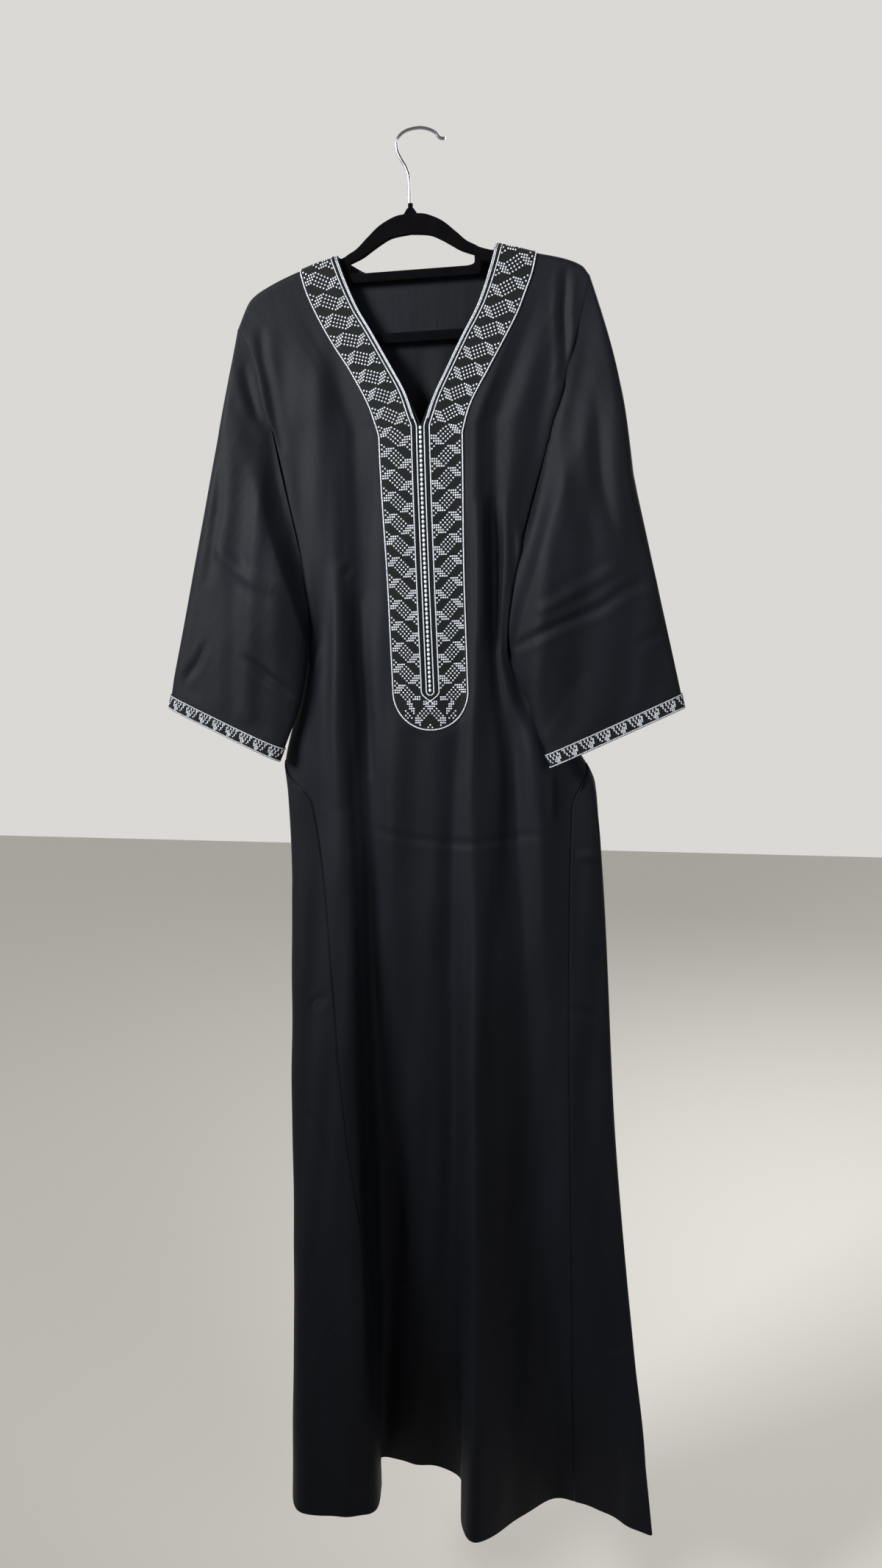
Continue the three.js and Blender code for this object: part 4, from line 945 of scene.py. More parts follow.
@functools.lru_cache(maxsize=None)
def twill_cloth(name, dark, light, sheen):
    """Polyester twill, woven and pressed: near black with a soft satin sheen along its folds."""
    cloth = bpy.context.scene.thobe_cloth
    material, tree, shader = new_material(name)
    uv = add_node(tree, "ShaderNodeUVMap", {"uv_map": "cloth"}).outputs[0]
    # Slow changes of tone down the length, as dye and handling leave them.
    stretched = add_node(tree, "ShaderNodeMapping", i0=uv, i3=(9.0, 1.6, 1.0)).outputs[0]
    tone = add_node(tree, "ShaderNodeTexNoise", i0=stretched, Scale=1.0, Detail=3.0, Roughness=0.55).outputs[0]
    ramp = add_node(tree, "ShaderNodeValToRGB", i0=tone)
    ramp.color_ramp.elements[0].position = 0.3
    ramp.color_ramp.elements[0].color = linear(dark)
    ramp.color_ramp.elements[1].position = 0.75
    ramp.color_ramp.elements[1].color = linear(light)
    tree.links.new(ramp.outputs[0], shader.inputs["Base Color"])
    # The twill's diagonal rib. Real ribs are 0.4 mm apart, which is too fine to show, so they are drawn wider.
    ribs = 0.5 / cloth.rib_spacing
    turned = add_node(tree, "ShaderNodeMapping", i0=uv, i2=(0, 0, math.radians(62)), i3=(ribs, ribs, 1.0)).outputs[0]
    rib = add_node(
        tree, "ShaderNodeTexWave", {"wave_profile": "SIN"}, i0=turned, Scale=1.0, Distortion=0.6, Detail=1.0
    ).outputs[1]
    slub = add_node(tree, "ShaderNodeTexNoise", i0=uv, Scale=260.0, Detail=4.0, Roughness=0.6).outputs[0]
    crumple = add_node(tree, "ShaderNodeTexNoise", i0=stretched, Scale=7.0, Detail=4.0, Roughness=0.5).outputs[0]
    rough = add_node(tree, "ShaderNodeMapRange", i0=slub, i3=0.54, i4=0.7).outputs[0]
    tree.links.new(rough, shader.inputs["Roughness"])
    fine = add_node(tree, "ShaderNodeBump", Strength=0.22, Distance=0.0002, Height=rib).outputs[0]
    middle = add_node(tree, "ShaderNodeBump", Strength=0.25, Distance=0.0003, Height=slub, Normal=fine).outputs[0]
    broad = add_node(tree, "ShaderNodeBump", Strength=0.22, Distance=0.0025, Height=crumple, Normal=middle).outputs[0]
    tree.links.new(broad, shader.inputs["Normal"])
    set_inputs(shader, IOR=1.5, Specular_IOR_Level=0.12, Sheen_Weight=sheen, Sheen_Roughness=0.35)
    set_inputs(shader, Sheen_Tint=linear("#8f97a8"))
    return material


@functools.lru_cache(maxsize=None)
def stitched_ground():
    """Black rayon thread, cross-stitched solid over the band's interfacing: matt, with rows of small pits whose shade
    is painted in.
    """
    stitches = bpy.context.scene.thobe_embroidery
    material, tree, shader = new_material("black rayon cross stitch")
    uv = add_node(tree, "ShaderNodeUVMap", {"uv_map": "cloth"}).outputs[0]
    per_metre = 1 / stitches.cell
    scaled = add_node(tree, "ShaderNodeVectorMath", {"operation": "SCALE"}, i0=uv, Scale=per_metre).outputs[0]
    cell = add_node(tree, "ShaderNodeVectorMath", {"operation": "FRACTION"}, i0=scaled).outputs[0]
    centred = add_node(
        tree, "ShaderNodeVectorMath", {"operation": "SUBTRACT"}, i0=cell, i1=(0.5, 0.5, 0)
    ).outputs[0]
    parts = add_node(tree, "ShaderNodeSeparateXYZ", i0=centred)
    u = add_node(tree, "ShaderNodeMath", {"operation": "ABSOLUTE"}, i0=parts.outputs[0]).outputs[0]
    v = add_node(tree, "ShaderNodeMath", {"operation": "ABSOLUTE"}, i0=parts.outputs[1]).outputs[0]
    apart = add_node(tree, "ShaderNodeMath", {"operation": "SUBTRACT"}, i0=u, i1=v).outputs[0]
    cross = add_node(tree, "ShaderNodeMath", {"operation": "ABSOLUTE"}, i0=apart).outputs[0]
    arm = add_node(tree, "ShaderNodeMapRange", i0=cross, i1=0.05, i2=0.22, i3=1.0, i4=0.0).outputs[0]
    # The pits between the stitches' arms are painted near black: painted shade in the recesses that the bump lowers.
    mix = add_node(tree, "ShaderNodeMix", {"data_type": "RGBA"}, i0=arm)
    mix.inputs[6].default_value = linear("#030304")
    mix.inputs[7].default_value = linear("#1b1d1e")
    tree.links.new(mix.outputs[2], shader.inputs["Base Color"])
    bump = add_node(tree, "ShaderNodeBump", Strength=0.8, Distance=0.0005, Height=arm).outputs[0]
    tree.links.new(bump, shader.inputs["Normal"])
    set_inputs(shader, Roughness=0.62, Specular_IOR_Level=0.12, Sheen_Weight=0.04, Sheen_Roughness=0.5)
    return material


@functools.lru_cache(maxsize=None)
def twisted_thread(name, colour, metallic, roughness, specular):
    """Embroidery thread, spun from fine filaments: its twist breaks up the highlight."""
    material, tree, shader = new_material(name)
    place = add_node(tree, "ShaderNodeTexCoord").outputs["Object"]
    grain = add_node(tree, "ShaderNodeTexNoise", i0=place, Scale=900.0, Detail=2.0).outputs[0]
    ramp = add_node(tree, "ShaderNodeValToRGB", i0=grain)
    ramp.color_ramp.elements[0].position = 0.3
    ramp.color_ramp.elements[0].color = [channel * 0.55 for channel in linear(colour)[:3]] + [1.0]
    ramp.color_ramp.elements[1].position = 0.62
    ramp.color_ramp.elements[1].color = linear(colour)
    tree.links.new(ramp.outputs[0], shader.inputs["Base Color"])
    turned = add_node(tree, "ShaderNodeMapping", i0=place, i2=(0, math.radians(35), 0)).outputs[0]
    plies = add_node(tree, "ShaderNodeTexWave", i0=turned, Scale=420.0, Distortion=1.0).outputs[1]
    bump = add_node(tree, "ShaderNodeBump", Strength=0.4, Distance=0.0002, Height=plies).outputs[0]
    tree.links.new(bump, shader.inputs["Normal"])
    set_inputs(shader, Metallic=metallic, Roughness=roughness, Specular_IOR_Level=specular)
    return material


@functools.lru_cache(maxsize=None)
def velvet_flock():
    """Nylon velvet flock, blown on to the moulded hanger: it drinks the light, with a pale edge at a low angle."""
    material, tree, shader = new_material("black nylon flock")
    place = add_node(tree, "ShaderNodeTexCoord").outputs["Object"]
    pile = add_node(tree, "ShaderNodeTexNoise", i0=place, Scale=700.0, Detail=5.0, Roughness=0.7).outputs[0]
    patches = add_node(tree, "ShaderNodeTexNoise", i0=place, Scale=45.0, Detail=2.0).outputs[0]
    ramp = add_node(tree, "ShaderNodeValToRGB", i0=patches)
    ramp.color_ramp.elements[0].color = linear("#030304")
    ramp.color_ramp.elements[1].color = linear("#0a0a0d")
    tree.links.new(ramp.outputs[0], shader.inputs["Base Color"])
    bump = add_node(tree, "ShaderNodeBump", Strength=0.6, Distance=0.0004, Height=pile).outputs[0]
    tree.links.new(bump, shader.inputs["Normal"])
    set_inputs(shader, Roughness=0.95, Specular_IOR_Level=0.04, Sheen_Weight=0.12, Sheen_Roughness=0.25)
    set_inputs(shader, Sheen_Tint=linear("#6c6f78"))
    return material


@functools.lru_cache(maxsize=None)
def chromed_wire():
    """Chrome-plated steel wire, drawn and polished, with a slightly worn gloss."""
    material, _, shader = new_material("chrome plated wire")
    set_inputs(shader, Base_Color=linear("#9ea2a8"), Metallic=1.0, Roughness=0.24)
    return material


@functools.lru_cache(maxsize=None)
def pocketing():
    """Plain cotton and polyester pocketing: matt, with a fine open weave."""
    return twill_cloth("black pocketing", "#101114", "#191a1e", 0.1)


def body_cloth():
    return twill_cloth("black polyester twill", "#07090f", "#11141c", bpy.context.scene.thobe_cloth.sheen)


def silver_thread():
    return twisted_thread("silver lurex thread", "#e2e8f2", 0.2, 0.4, 0.5)


def black_gimp():
    return twisted_thread("black gimp braid", "#1c1e20", 0.0, 0.6, 0.15)


# ---------------------------------------------------------------------------------------------------------
# Geometry Nodes: stitches, beads and cords
# ---------------------------------------------------------------------------------------------------------


def group_inputs(tree, **defaults):
    """Declares a node group's geometry and named number inputs."""
    tree.interface.new_socket("Geometry", in_out="INPUT", socket_type="NodeSocketGeometry")
    for name, value in defaults.items():
        kind = "NodeSocketInt" if isinstance(value, int) else "NodeSocketFloat"
        socket = tree.interface.new_socket(name.replace("_", " "), in_out="INPUT", socket_type=kind)
        socket.default_value = value
    tree.interface.new_socket("Geometry", in_out="OUTPUT", socket_type="NodeSocketGeometry")
    return add_node(tree, "NodeGroupInput")


def finish_tree(tree, geometry, material):
    realized = add_node(tree, "GeometryNodeRealizeInstances", i0=geometry).outputs[0]
    shaded = add_node(tree, "GeometryNodeSetShadeSmooth", i0=realized).outputs[0]
    painted = add_node(tree, "GeometryNodeSetMaterial", i0=shaded, Material=material).outputs[0]
    output = add_node(tree, "NodeGroupOutput")
    tree.links.new(painted, output.inputs[0])


def stitch_tree(name, material):
    """Puts a rounded stitch on every point, turned and sized by the point's own attributes."""
    tree = bpy.data.node_groups.new(name, "GeometryNodeTree")
    inputs = group_inputs(tree, Stitch_length=0.003, Stitch_width=0.001, Stitch_height=0.001, Sides=6, Rings=4)
    ball = add_node(tree, "GeometryNodeMeshUVSphere", i0=inputs.outputs["Sides"], i1=inputs.outputs["Rings"], i2=0.5)
    size = add_node(
        tree,
        "ShaderNodeCombineXYZ",
        i0=inputs.outputs["Stitch width"],
        i1=inputs.outputs["Stitch height"],
        i2=inputs.outputs["Stitch length"],
    ).outputs[0]
    stitch = add_node(tree, "GeometryNodeTransform", Geometry=ball.outputs[0], Scale=size).outputs[0]
    turn = add_node(tree, "GeometryNodeInputNamedAttribute", {"data_type": "FLOAT_VECTOR"}, Name="turn").outputs[0]
    scale = add_node(tree, "GeometryNodeInputNamedAttribute", {"data_type": "FLOAT"}, Name="size").outputs[0]
    placed = add_node(
        tree,
        "GeometryNodeInstanceOnPoints",
        Points=inputs.outputs[0],
        Instance=stitch,
        Rotation=turn,
        Scale=scale,
    ).outputs[0]
    finish_tree(tree, placed, material)
    return tree


def apply_tree(name, mesh, tree, **values):
    """Runs a node group over a mesh and keeps the result as a plain mesh."""
    carrier = bpy.data.objects.new(name + "_points", mesh)
    bpy.context.collection.objects.link(carrier)
    modifier = carrier.modifiers.new("nodes", "NODES")
    modifier.node_group = tree
    for item in tree.interface.items_tree:
        key = item.name.replace(" ", "_")
        if item.item_type == "SOCKET" and item.in_out == "INPUT" and key in values:
            modifier[item.identifier] = values[key]
    bpy.context.view_layer.update()
    evaluated = carrier.evaluated_get(bpy.context.evaluated_depsgraph_get())
    made = bpy.data.meshes.new_from_object(evaluated)
    made.name = name
    carrier.modifiers.clear()
    bpy.data.objects.remove(carrier)
    piece = bpy.data.objects.new(name, made)
    bpy.context.collection.objects.link(piece)
    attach(piece, BODY)
    return piece


def stitched(name, material, points, along, normals, sizes=None, **values):
    """A piece made of stitches: each lies along its own direction and stands off its own normal."""
    mesh = bpy.data.meshes.new(name + "_places")
    mesh.from_pydata((points * MM).tolist(), [], [])
    along = unit(along)
    side = unit(np.cross(along, normals))
    up = np.cross(side, along)
    turns = []
    for x_axis, y_axis, z_axis in zip(side, -up, along):
        turns.append(Matrix((x_axis, y_axis, z_axis)).transposed().to_euler())
    attribute = mesh.attributes.new("turn", "FLOAT_VECTOR", "POINT")
    attribute.data.foreach_set("vector", np.array(turns, np.float32).ravel())
    attribute = mesh.attributes.new("size", "FLOAT", "POINT")
    attribute.data.foreach_set("value", np.ones(len(points)) if sizes is None else sizes)
    return apply_tree(name, mesh, stitch_tree(name + " stitches", material), **values)


# ---------------------------------------------------------------------------------------------------------
# Paths on the neck band
# ---------------------------------------------------------------------------------------------------------


@functools.lru_cache(maxsize=None)
def band_edges(name):
    """The band's inner and outer edges down one side, as (x, drop), from the shoulder to the end of the U."""
    side = outward(name)
    neck_top = float(shoulder_drop(NECK[name]["x"][0]))
    outer_top = float(shoulder_drop(band_outer[name](135)))
    placket_top = CHEST_DROP + 8
    neck_run = placket_top - neck_top
    below = np.concatenate([CAP_ROWS[:-1], np.linspace(CAP_ROWS[-1], neck_run, 66)])
    inner_drop = neck_top + below
    share = below / neck_run
    blended = lerp(outer_top, placket_top, share * share * 0.25 + share * 0.75)
    outer_drop = np.where(below <= 9, outer_top + below, blended)
    inset = lerp(NECK_INSET, SLIT_INSET, smooth((inner_drop - 290) / 45))
    inner = [np.stack([neck_x[name](inner_drop) + side * inset, inner_drop], axis=-1)]
    outer = [np.stack([band_outer[name](outer_drop), outer_drop], axis=-1)]
    f = np.linspace(0, 1, 91)[1:]
    drop = lerp(placket_top, SLIT_END_DROP, f)
    half = lerp(50 if side < 0 else 49, PLACKET_HALF, smooth(f * 1.5))
    inner.append(np.stack([slit_x(drop) + side * SLIT_INSET, drop], axis=-1))
    outer.append(np.stack([slit_x(drop) + side * half, drop], axis=-1))
    angle = np.linspace(0, math.pi / 2, 31)[1:]
    turn = np.stack([side * np.cos(angle), np.sin(angle)], axis=-1)
    end = np.array([float(slit_x(SLIT_END_DROP)), SLIT_END_DROP])
    inner.append(end + turn * SLIT_INSET)
    outer.append(end + turn * PLACKET_HALF)
    return np.concatenate(inner), np.concatenate(outer)


def band_line(name, at, from_outer=False):
    """A line down one side of the band at a distance from its inner edge, or outside its outer edge."""
    inner, outer = band_edges(name)
    width = np.linalg.norm(outer - inner, axis=1)
    share = 1 + at / width if from_outer else at / width
    return inner + (outer - inner) * share[:, None]


def lifted(flat, lift):
    """Points over the front at flat (x, drop) places."""
    x = flat[..., 0]
    drop = np.maximum(flat[..., 1], shoulder_drop(x))
    return on_cloth(-1, x, drop, lift)


def resampled(flat, pitch):
    """Points at an even pitch along a flat line, with their directions."""
    lengths = np.concatenate([[0], np.cumsum(np.linalg.norm(np.diff(flat, axis=0), axis=1))])
    count = max(2, round(lengths[-1] / pitch))
    at = (np.arange(count) + 0.5) * lengths[-1] / count
    points = np.stack([np.interp(at, lengths, flat[:, k]) for k in (0, 1)], axis=-1)
    ahead = np.stack([np.interp(at + 0.4, lengths, flat[:, k]) for k in (0, 1)], axis=-1)
    behind = np.stack([np.interp(at - 0.4, lengths, flat[:, k]) for k in (0, 1)], axis=-1)
    return points, ahead - behind


def stitch_line(flat, pitch, lift, slant):
    """Places of slanted stitches along a flat line: points, directions and normals on the cloth."""
    centre, along = resampled(flat, pitch)
    along = along / np.linalg.norm(along, axis=1, keepdims=True)
    across = np.stack([-along[:, 1], along[:, 0]], axis=-1)
    lean = along * math.cos(slant) + across * math.sin(slant)
    points = lifted(centre, lift)
    ahead = lifted(centre + lean * 0.5, lift)
    raised = lifted(centre, lift + 1)
    return points, ahead - points, raised - points


# ---------------------------------------------------------------------------------------------------------
# The hanger's outline, from its middle: x against drop
# ---------------------------------------------------------------------------------------------------------

COLLAR = [(2.6, 80), (2.6, 85), (4.2, 86)]
ARM_TOP = [
    (8, 91.6),
    (20, 93.6),
    (38, 102),
    (54, 115),
    (66, 125.5),
    (76, 131),
    (89, 136.8),
    (137, 149.8),
    (172, 163),
    (180, 168),
]
ARM_UNDER = [(0, 114.5), (22, 117), (36, 123), (48, 130), (60, 137), (76, 143)]
BAR = {"top": 154, "under": 165, "post_inner": 76, "post_outer": 84}
TROUSER_BAR = {"top": 224, "under": 236, "half": 140}
HOOK_POINTS = [  # x, drop
    (-13, 79.7),
    (-13, 62),
    (-13.5, 49),
    (-17, 39),
    (-23, 29),
    (-27, 19),
    (-26, 8),
    (-17.5, 0.8),
    (0, -1.8),
    (12.5, 1.2),
    (19.8, 5.6),
    (23.2, 10),
    (26.2, 12),
    (31, 12.3),
]


def even_spline(points, steps):
    """An even Catmull-Rom curve through the points."""
    points = np.array(points, float)
    padded = np.concatenate([points[:1], points, points[-1:]])
    made = []
    for k in range(len(points) - 1):
        p0, p1, p2, p3 = padded[k : k + 4]
        t = np.linspace(0, 1, steps, endpoint=False)[:, None]
        start, end = (p2 - p0) / 2, (p3 - p1) / 2
        made.append(p1 + t * (start + t * (-3 * p1 + 3 * p2 - 2 * start - end + t * (2 * p1 - 2 * p2 + start + end))))
    return np.concatenate([*made, points[-1:]])


def centripetal(points, steps):
    """A centripetal Catmull-Rom curve through the points, which doesn't loop at tight bends."""
    padded = np.concatenate([[2 * points[0] - points[1]], points, [2 * points[-1] - points[-2]]])
    made = []
    for k in range(len(points) - 1):
        p = padded[k : k + 4]
        d0, d1, d2 = np.sqrt(np.linalg.norm(np.diff(p, axis=0), axis=1))
        start = ((p[1] - p[0]) / d0 - (p[2] - p[0]) / (d0 + d1) + (p[2] - p[1]) / d1) * d1
        end = ((p[2] - p[1]) / d1 - (p[3] - p[1]) / (d1 + d2) + (p[3] - p[2]) / d2) * d1
        t = np.linspace(0, 1, steps, endpoint=False)[:, None]
        bend = -3 * p[1] + 3 * p[2] - 2 * start - end
        made.append(p[1] + t * (start + t * (bend + t * (2 * p[1] - 2 * p[2] + start + end))))
    return np.concatenate([*made, points[-1:]])


def quadratic(start, control, end, steps=10):
    t = np.linspace(0, 1, steps + 1)[:, None]
    start, control, end = (np.array(p, float) for p in (start, control, end))
    return (1 - t) ** 2 * start + 2 * t * (1 - t) * control + t * t * end


def hanger_outlines():
    """The hanger's outer outline and its two windows, as points of a flat curve."""
    bar, low = BAR, TROUSER_BAR
    half = [COLLAR, even_spline(ARM_TOP, 8)]
    half.append(quadratic(ARM_TOP[-1], (HANGER_HALF + 3, 178), (174, 186)))
    half.append(quadratic((174, 186), (158, low["under"]), (low["half"], low["under"])))
    under = [np.array([(0, 114.5)]), even_spline(ARM_UNDER, 8), [(bar["post_inner"], bar["top"] - 4)]]
    under.append(quadratic((bar["post_inner"], bar["top"] - 4), (bar["post_inner"], bar["top"]), (64, bar["top"])))
    lower = [[(bar["post_outer"] - 6, bar["under"])]]
    lower.append(
        quadratic((bar["post_outer"] - 6, bar["under"]), (bar["post_outer"], bar["under"]), (84, bar["under"] - 4))
    )
    lower.append([(84, 150), (137, 163), (162, 174)])
    lower.append(quadratic((162, 174), (150, low["top"]), (132, low["top"])))
    outlines = []
    for parts in (half, under, lower):
        right = np.concatenate([np.asarray(part, float) for part in parts])
        left = right[::-1] * [-1, 1]
        whole = np.concatenate([right, left])
        keep = np.linalg.norm(whole - np.roll(whole, 1, axis=0), axis=1) > 0.05
        whole = whole[keep]
        outlines.append(np.column_stack([HANGER_X + whole[:, 0], -whole[:, 1]]))
    return outlines


# ---------------------------------------------------------------------------------------------------------
# Settings
# ---------------------------------------------------------------------------------------------------------


class ClothSettings(bpy.types.PropertyGroup):
    """Sizes and look of the cloth."""

    wall: bpy.props.FloatProperty(
        name="Cloth thickness", description="Thickness of the cloth shown", default=0.0008, min=0.0003, unit="LENGTH"
    )
    crease_strength: bpy.props.FloatProperty(
        name="Crease strength",
        description="Depth of all creases, 1 is as pressed",
        default=1.6,
        subtype="FACTOR",
    )
    rib_spacing: bpy.props.FloatProperty(
        name="Rib spacing",
        description="Distance between the twill's ribs",
        default=0.0009,
        precision=5,
        unit="LENGTH",
    )
    sheen: bpy.props.FloatProperty(
        name="Sheen",
        description="Pale edge of the cloth at a low angle",
        default=0.05,
        min=0,
        max=1,
        subtype="FACTOR",
    )


class EmbroiderySettings(bpy.types.PropertyGroup):
    """Sizes of the stitches, lines and beads."""

    cell: bpy.props.FloatProperty(
        name="Stitch cell", description="Height of one cross stitch", default=0.00288, precision=5, unit="LENGTH"
    )
    cuff_cell: bpy.props.FloatProperty(
        name="Cuff stitch cell", description="Side of one cuff stitch", default=0.0021, precision=5, unit="LENGTH"
    )
    bead_pitch: bpy.props.FloatProperty(
        name="Bead pitch", description="Distance between beads down the slit", default=0.0055, unit="LENGTH"
    )
    bead_width: bpy.props.FloatProperty(
        name="Bead width", description="Width of a bead", default=0.0036, unit="LENGTH"
    )
    line_width: bpy.props.FloatProperty(
        name="Line width", description="Width of a silver line", default=0.0017, precision=5, unit="LENGTH"
    )


class HangerSettings(bpy.types.PropertyGroup):
    """Sizes of the hanger's wire and edges."""

    wire: bpy.props.FloatProperty(
        name="Wire", description="Diameter of the hook's wire", default=0.0036, precision=4, unit="LENGTH"
    )
    edge: bpy.props.FloatProperty(
        name="Edge rounding", description="Rounding of the hanger's edges", default=0.0016, precision=4, unit="LENGTH"
    )


class StageSettings(bpy.types.PropertyGroup):
    """The floor and the lights."""

    floor_drop: bpy.props.FloatProperty(
        name="Floor", description="Distance of the floor below the hook's seat", default=1.95, unit="LENGTH"
    )
    key_power: bpy.props.FloatProperty(
        name="Key light", description="Strength of the main light", default=17.0, unit="POWER"
    )
    fill_power: bpy.props.FloatProperty(
        name="Fill light", description="Strength of the fill light", default=5.0, unit="POWER"
    )


# ---------------------------------------------------------------------------------------------------------
# Pieces
# ---------------------------------------------------------------------------------------------------------


def wall_mm():
    return bpy.context.scene.thobe_cloth.wall / MM


class THOBE_OT_front(bpy.types.Operator):
    """Front panel, from both shoulders round the V to the hem"""

    bl_idname = "thobe.front"
    bl_label = "Front panel"

    def execute(self, context):
        yokes, lower, middle = front_grids()
        sheet = Sheet()
        index = sheet.add(lower)
        uvs = grid_uvs(lower, middle)
        sheet.join(index, uvs)
        dips = [column_dip(*lower.shape[:2])]
        for name, part in (("left", slice(0, middle + 1)), ("right", slice(middle, None))):
            grid = yokes[name]
            part_index = sheet.add(grid[:-1])
            part_index = np.concatenate([part_index, index[:1, part]])
            part_uvs = grid_uvs(grid, middle if name == "left" else 0)
            part_uvs[..., 1] -= part_uvs[-1, 0, 1]
            sheet.join(part_index, part_uvs)
            dips.append(np.zeros(grid[:-1].shape[:2]).ravel())
        height = relief_of(-1, FRONT_CREASES, np.concatenate(dips))
        piece = place_mesh(sheet.mesh("cloth_front", wall_mm(), height), body_cloth())
        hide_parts("front_panel")
        return {"FINISHED"}


class THOBE_OT_back(bpy.types.Operator):
    """Back panel, with the scooped back neck"""

    bl_idname = "thobe.back"
    bl_label = "Back panel"

    def execute(self, context):
        grid = back_grid()
        sheet = Sheet()
        index = sheet.add(grid)
        sheet.join(index, grid_uvs(grid, BACK_COLUMNS // 2), flip=True)
        piece = place_mesh(sheet.mesh("cloth_back", wall_mm(), relief_of(1, BACK_CREASES)), body_cloth())
        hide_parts("back_panel")
        return {"FINISHED"}


class THOBE_OT_gores(bpy.types.Operator):
    """Side gores, and the pocket bags behind them"""

    bl_idname = "thobe.gores"
    bl_label = "Side gores and pocket bags"

    def execute(self, context):
        ends = {
            "left": (seam_fold["back_left"], seam_fold["front_left"], -FOLD_COUNT, 0.138),
            "right": (seam_fold["front_right"], seam_fold["back_right"], 0, 0.114),
        }
        for name, (start, stop, turn, area) in ends.items():
            rows = [drops for drops in lower_rows() if drops[0] > GORE_TOP]
            grid = []
            for drop, _ in rows:
                folds = np.linspace(float(start(drop)) + turn, float(stop(drop)), GORE_COLUMNS + 1)
                grid.append(body_row(with_edges(folds), (drop, drop)))
            grid = np.array(grid)
            sheet = Sheet()
            sheet.join(sheet.add(grid), grid_uvs(grid, GORE_COLUMNS // 2))
            height = relief_of(-1, FRONT_CREASES, column_dip(*grid.shape[:2]))
            piece = place_mesh(sheet.mesh(f"cloth_gore_{name}", wall_mm(), height), body_cloth())
            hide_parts(f"gore_{name}")
            self.pocket(name)
        return {"FINISHED"}

    def pocket(self, name):
        """A flat bag against the inner face of the gore's front."""
        thick, clear, columns = 1.2, 0.6, 16
        wall = 2.0
        left = name == "left"
        rows = []
        for drop in np.linspace(860, 1070, 40):
            at_seam = float(seam_fold["front_left" if left else "front_right"](drop))
            near_side = FRONT_LEFT + 0.25 if left else FRONT_RIGHT - 0.25
            folds = np.linspace(*((near_side, at_seam - 0.06) if left else (at_seam + 0.06, near_side)), columns + 1)
            drops = np.full(folds.shape, drop)
            rows.append(body_point(folds, drops) - body_normal(folds, drops) * (wall + clear))
        grid = np.array(rows)
        sheet = Sheet()
        sheet.join(sheet.add(grid), grid_uvs(grid))
        piece = place_mesh(sheet.mesh(f"bag_{name}", thick), pocketing())
        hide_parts(f"pocket_bag_{name}")


class THOBE_OT_sleeves(bpy.types.Operator):
    """Wide sleeves with their stitched cuff bands"""

    bl_idname = "thobe.sleeves"
    bl_label = "Sleeves and cuff bands"

    def execute(self, context):
        for name, area in (("left", 0.123), ("right", 0.140)):
            grid = sleeve_grid(name)
            sheet = Sheet()
            index = sheet.add(grid)
            closed = np.concatenate([index, index[:, :1]], axis=1)
            points = np.concatenate([grid, grid[:, :1]], axis=1)
            sheet.join(closed, grid_uvs(points), flip=name == "left")
            front = relief_of(-1, SLEEVE_CREASES[name, -1])
            back = relief_of(1, SLEEVE_CREASES[name, 1])
            # Creases fade out at the armhole's seam and under the cuff band.
            to_cuff = np.linalg.norm(grid[-1] - grid, axis=-1)
            fade = smooth(np.arange(len(grid)) / 4)[:, None] * smooth((to_cuff - CUFF_BAND - 2) / 20)
            fade = fade.ravel()

            def height(points, normals, front=front, back=back, fade=fade):
                return (front(points, normals) + back(points, normals)) * fade

            piece = place_mesh(sheet.mesh(f"cloth_sleeve_{name}", wall_mm(), height), body_cloth())
            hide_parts(f"sleeve_{name}")
            self.cuff(name)
        return {"FINISHED"}

    def cuff(self, name):
        """The stitched band round the sleeve's end, with its pattern between two silver lines."""
        patch = cuff_patch(name)
        sheet = Sheet()
        grid = patch.grid[:, :-1] + patch.normals[:, :-1] * (SEAM_GAP + BAND_THICK)
        index = sheet.add(grid)
        points = np.concatenate([grid, grid[:, :1]], axis=1)
        sheet.join(np.concatenate([index, index[:, :1]], axis=1), grid_uvs(points), flip=name == "left")
        piece = place_mesh(sheet.mesh(f"cuff_ground_{name}", BAND_THICK), stitched_ground())
        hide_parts(f"cuff_band_{name}")

        settings = bpy.context.scene.thobe_embroidery
        rows, columns = len(CUFF_CHART), len(CUFF_CHART[0])
        repeats = round(patch.around / (columns * settings.cuff_cell / MM))
        cell = patch.around / (repeats * columns)
        margin = CUFF_MARGIN / CUFF_BAND
        row_height = (1 - 2 * margin) / rows
        cells = [(r, c) for r in range(rows) for c in range(columns) if CUFF_CHART[r][c] == "#"]
        rows_at = np.array([r for r, _ in cells])
        columns_at = np.array([c for _, c in cells])
        around = (np.arange(repeats)[:, None] * columns + columns_at + 0.5).ravel() * cell
        share = np.tile(margin + (rows_at + 0.5) * row_height, repeats)
        lift = SEAM_GAP + BAND_THICK + 0.15
        points, along, normals = [], [], []
        for lean in (-1, 1):
            place, normal = patch.at(around, share, lift)
            ahead, _ = patch.at(around + cell / 2, share + lean * row_height / 2, lift)
            points.append(place)
            along.append(ahead - place)
            normals.append(normal)
        piece = stitched(
            f"cuff_stitches_{name}",
            silver_thread(),
            np.concatenate(points),
            np.concatenate(along),
            np.concatenate(normals),
            Stitch_length=cell * 1.25 * MM,
            Stitch_width=0.0008,
            Stitch_height=0.0007,
        )

        points, along, normals = [], [], []
        for share in (0.07, 0.93):
            around = np.arange(0, patch.around, 1.9)
            place, normal = patch.at(around, np.full(around.shape, share), lift)
            ahead, _ = patch.at(around + 0.8, np.full(around.shape, share + 0.025), lift)
            points.append(place)
            along.append(ahead - place)
            normals.append(normal)
        piece = stitched(
            f"cuff_lines_{name}",
            silver_thread(),
            np.concatenate(points),
            np.concatenate(along),
            np.concatenate(normals),
            Stitch_length=0.0026,
            Stitch_width=0.0011,
            Stitch_height=0.0009,
        )


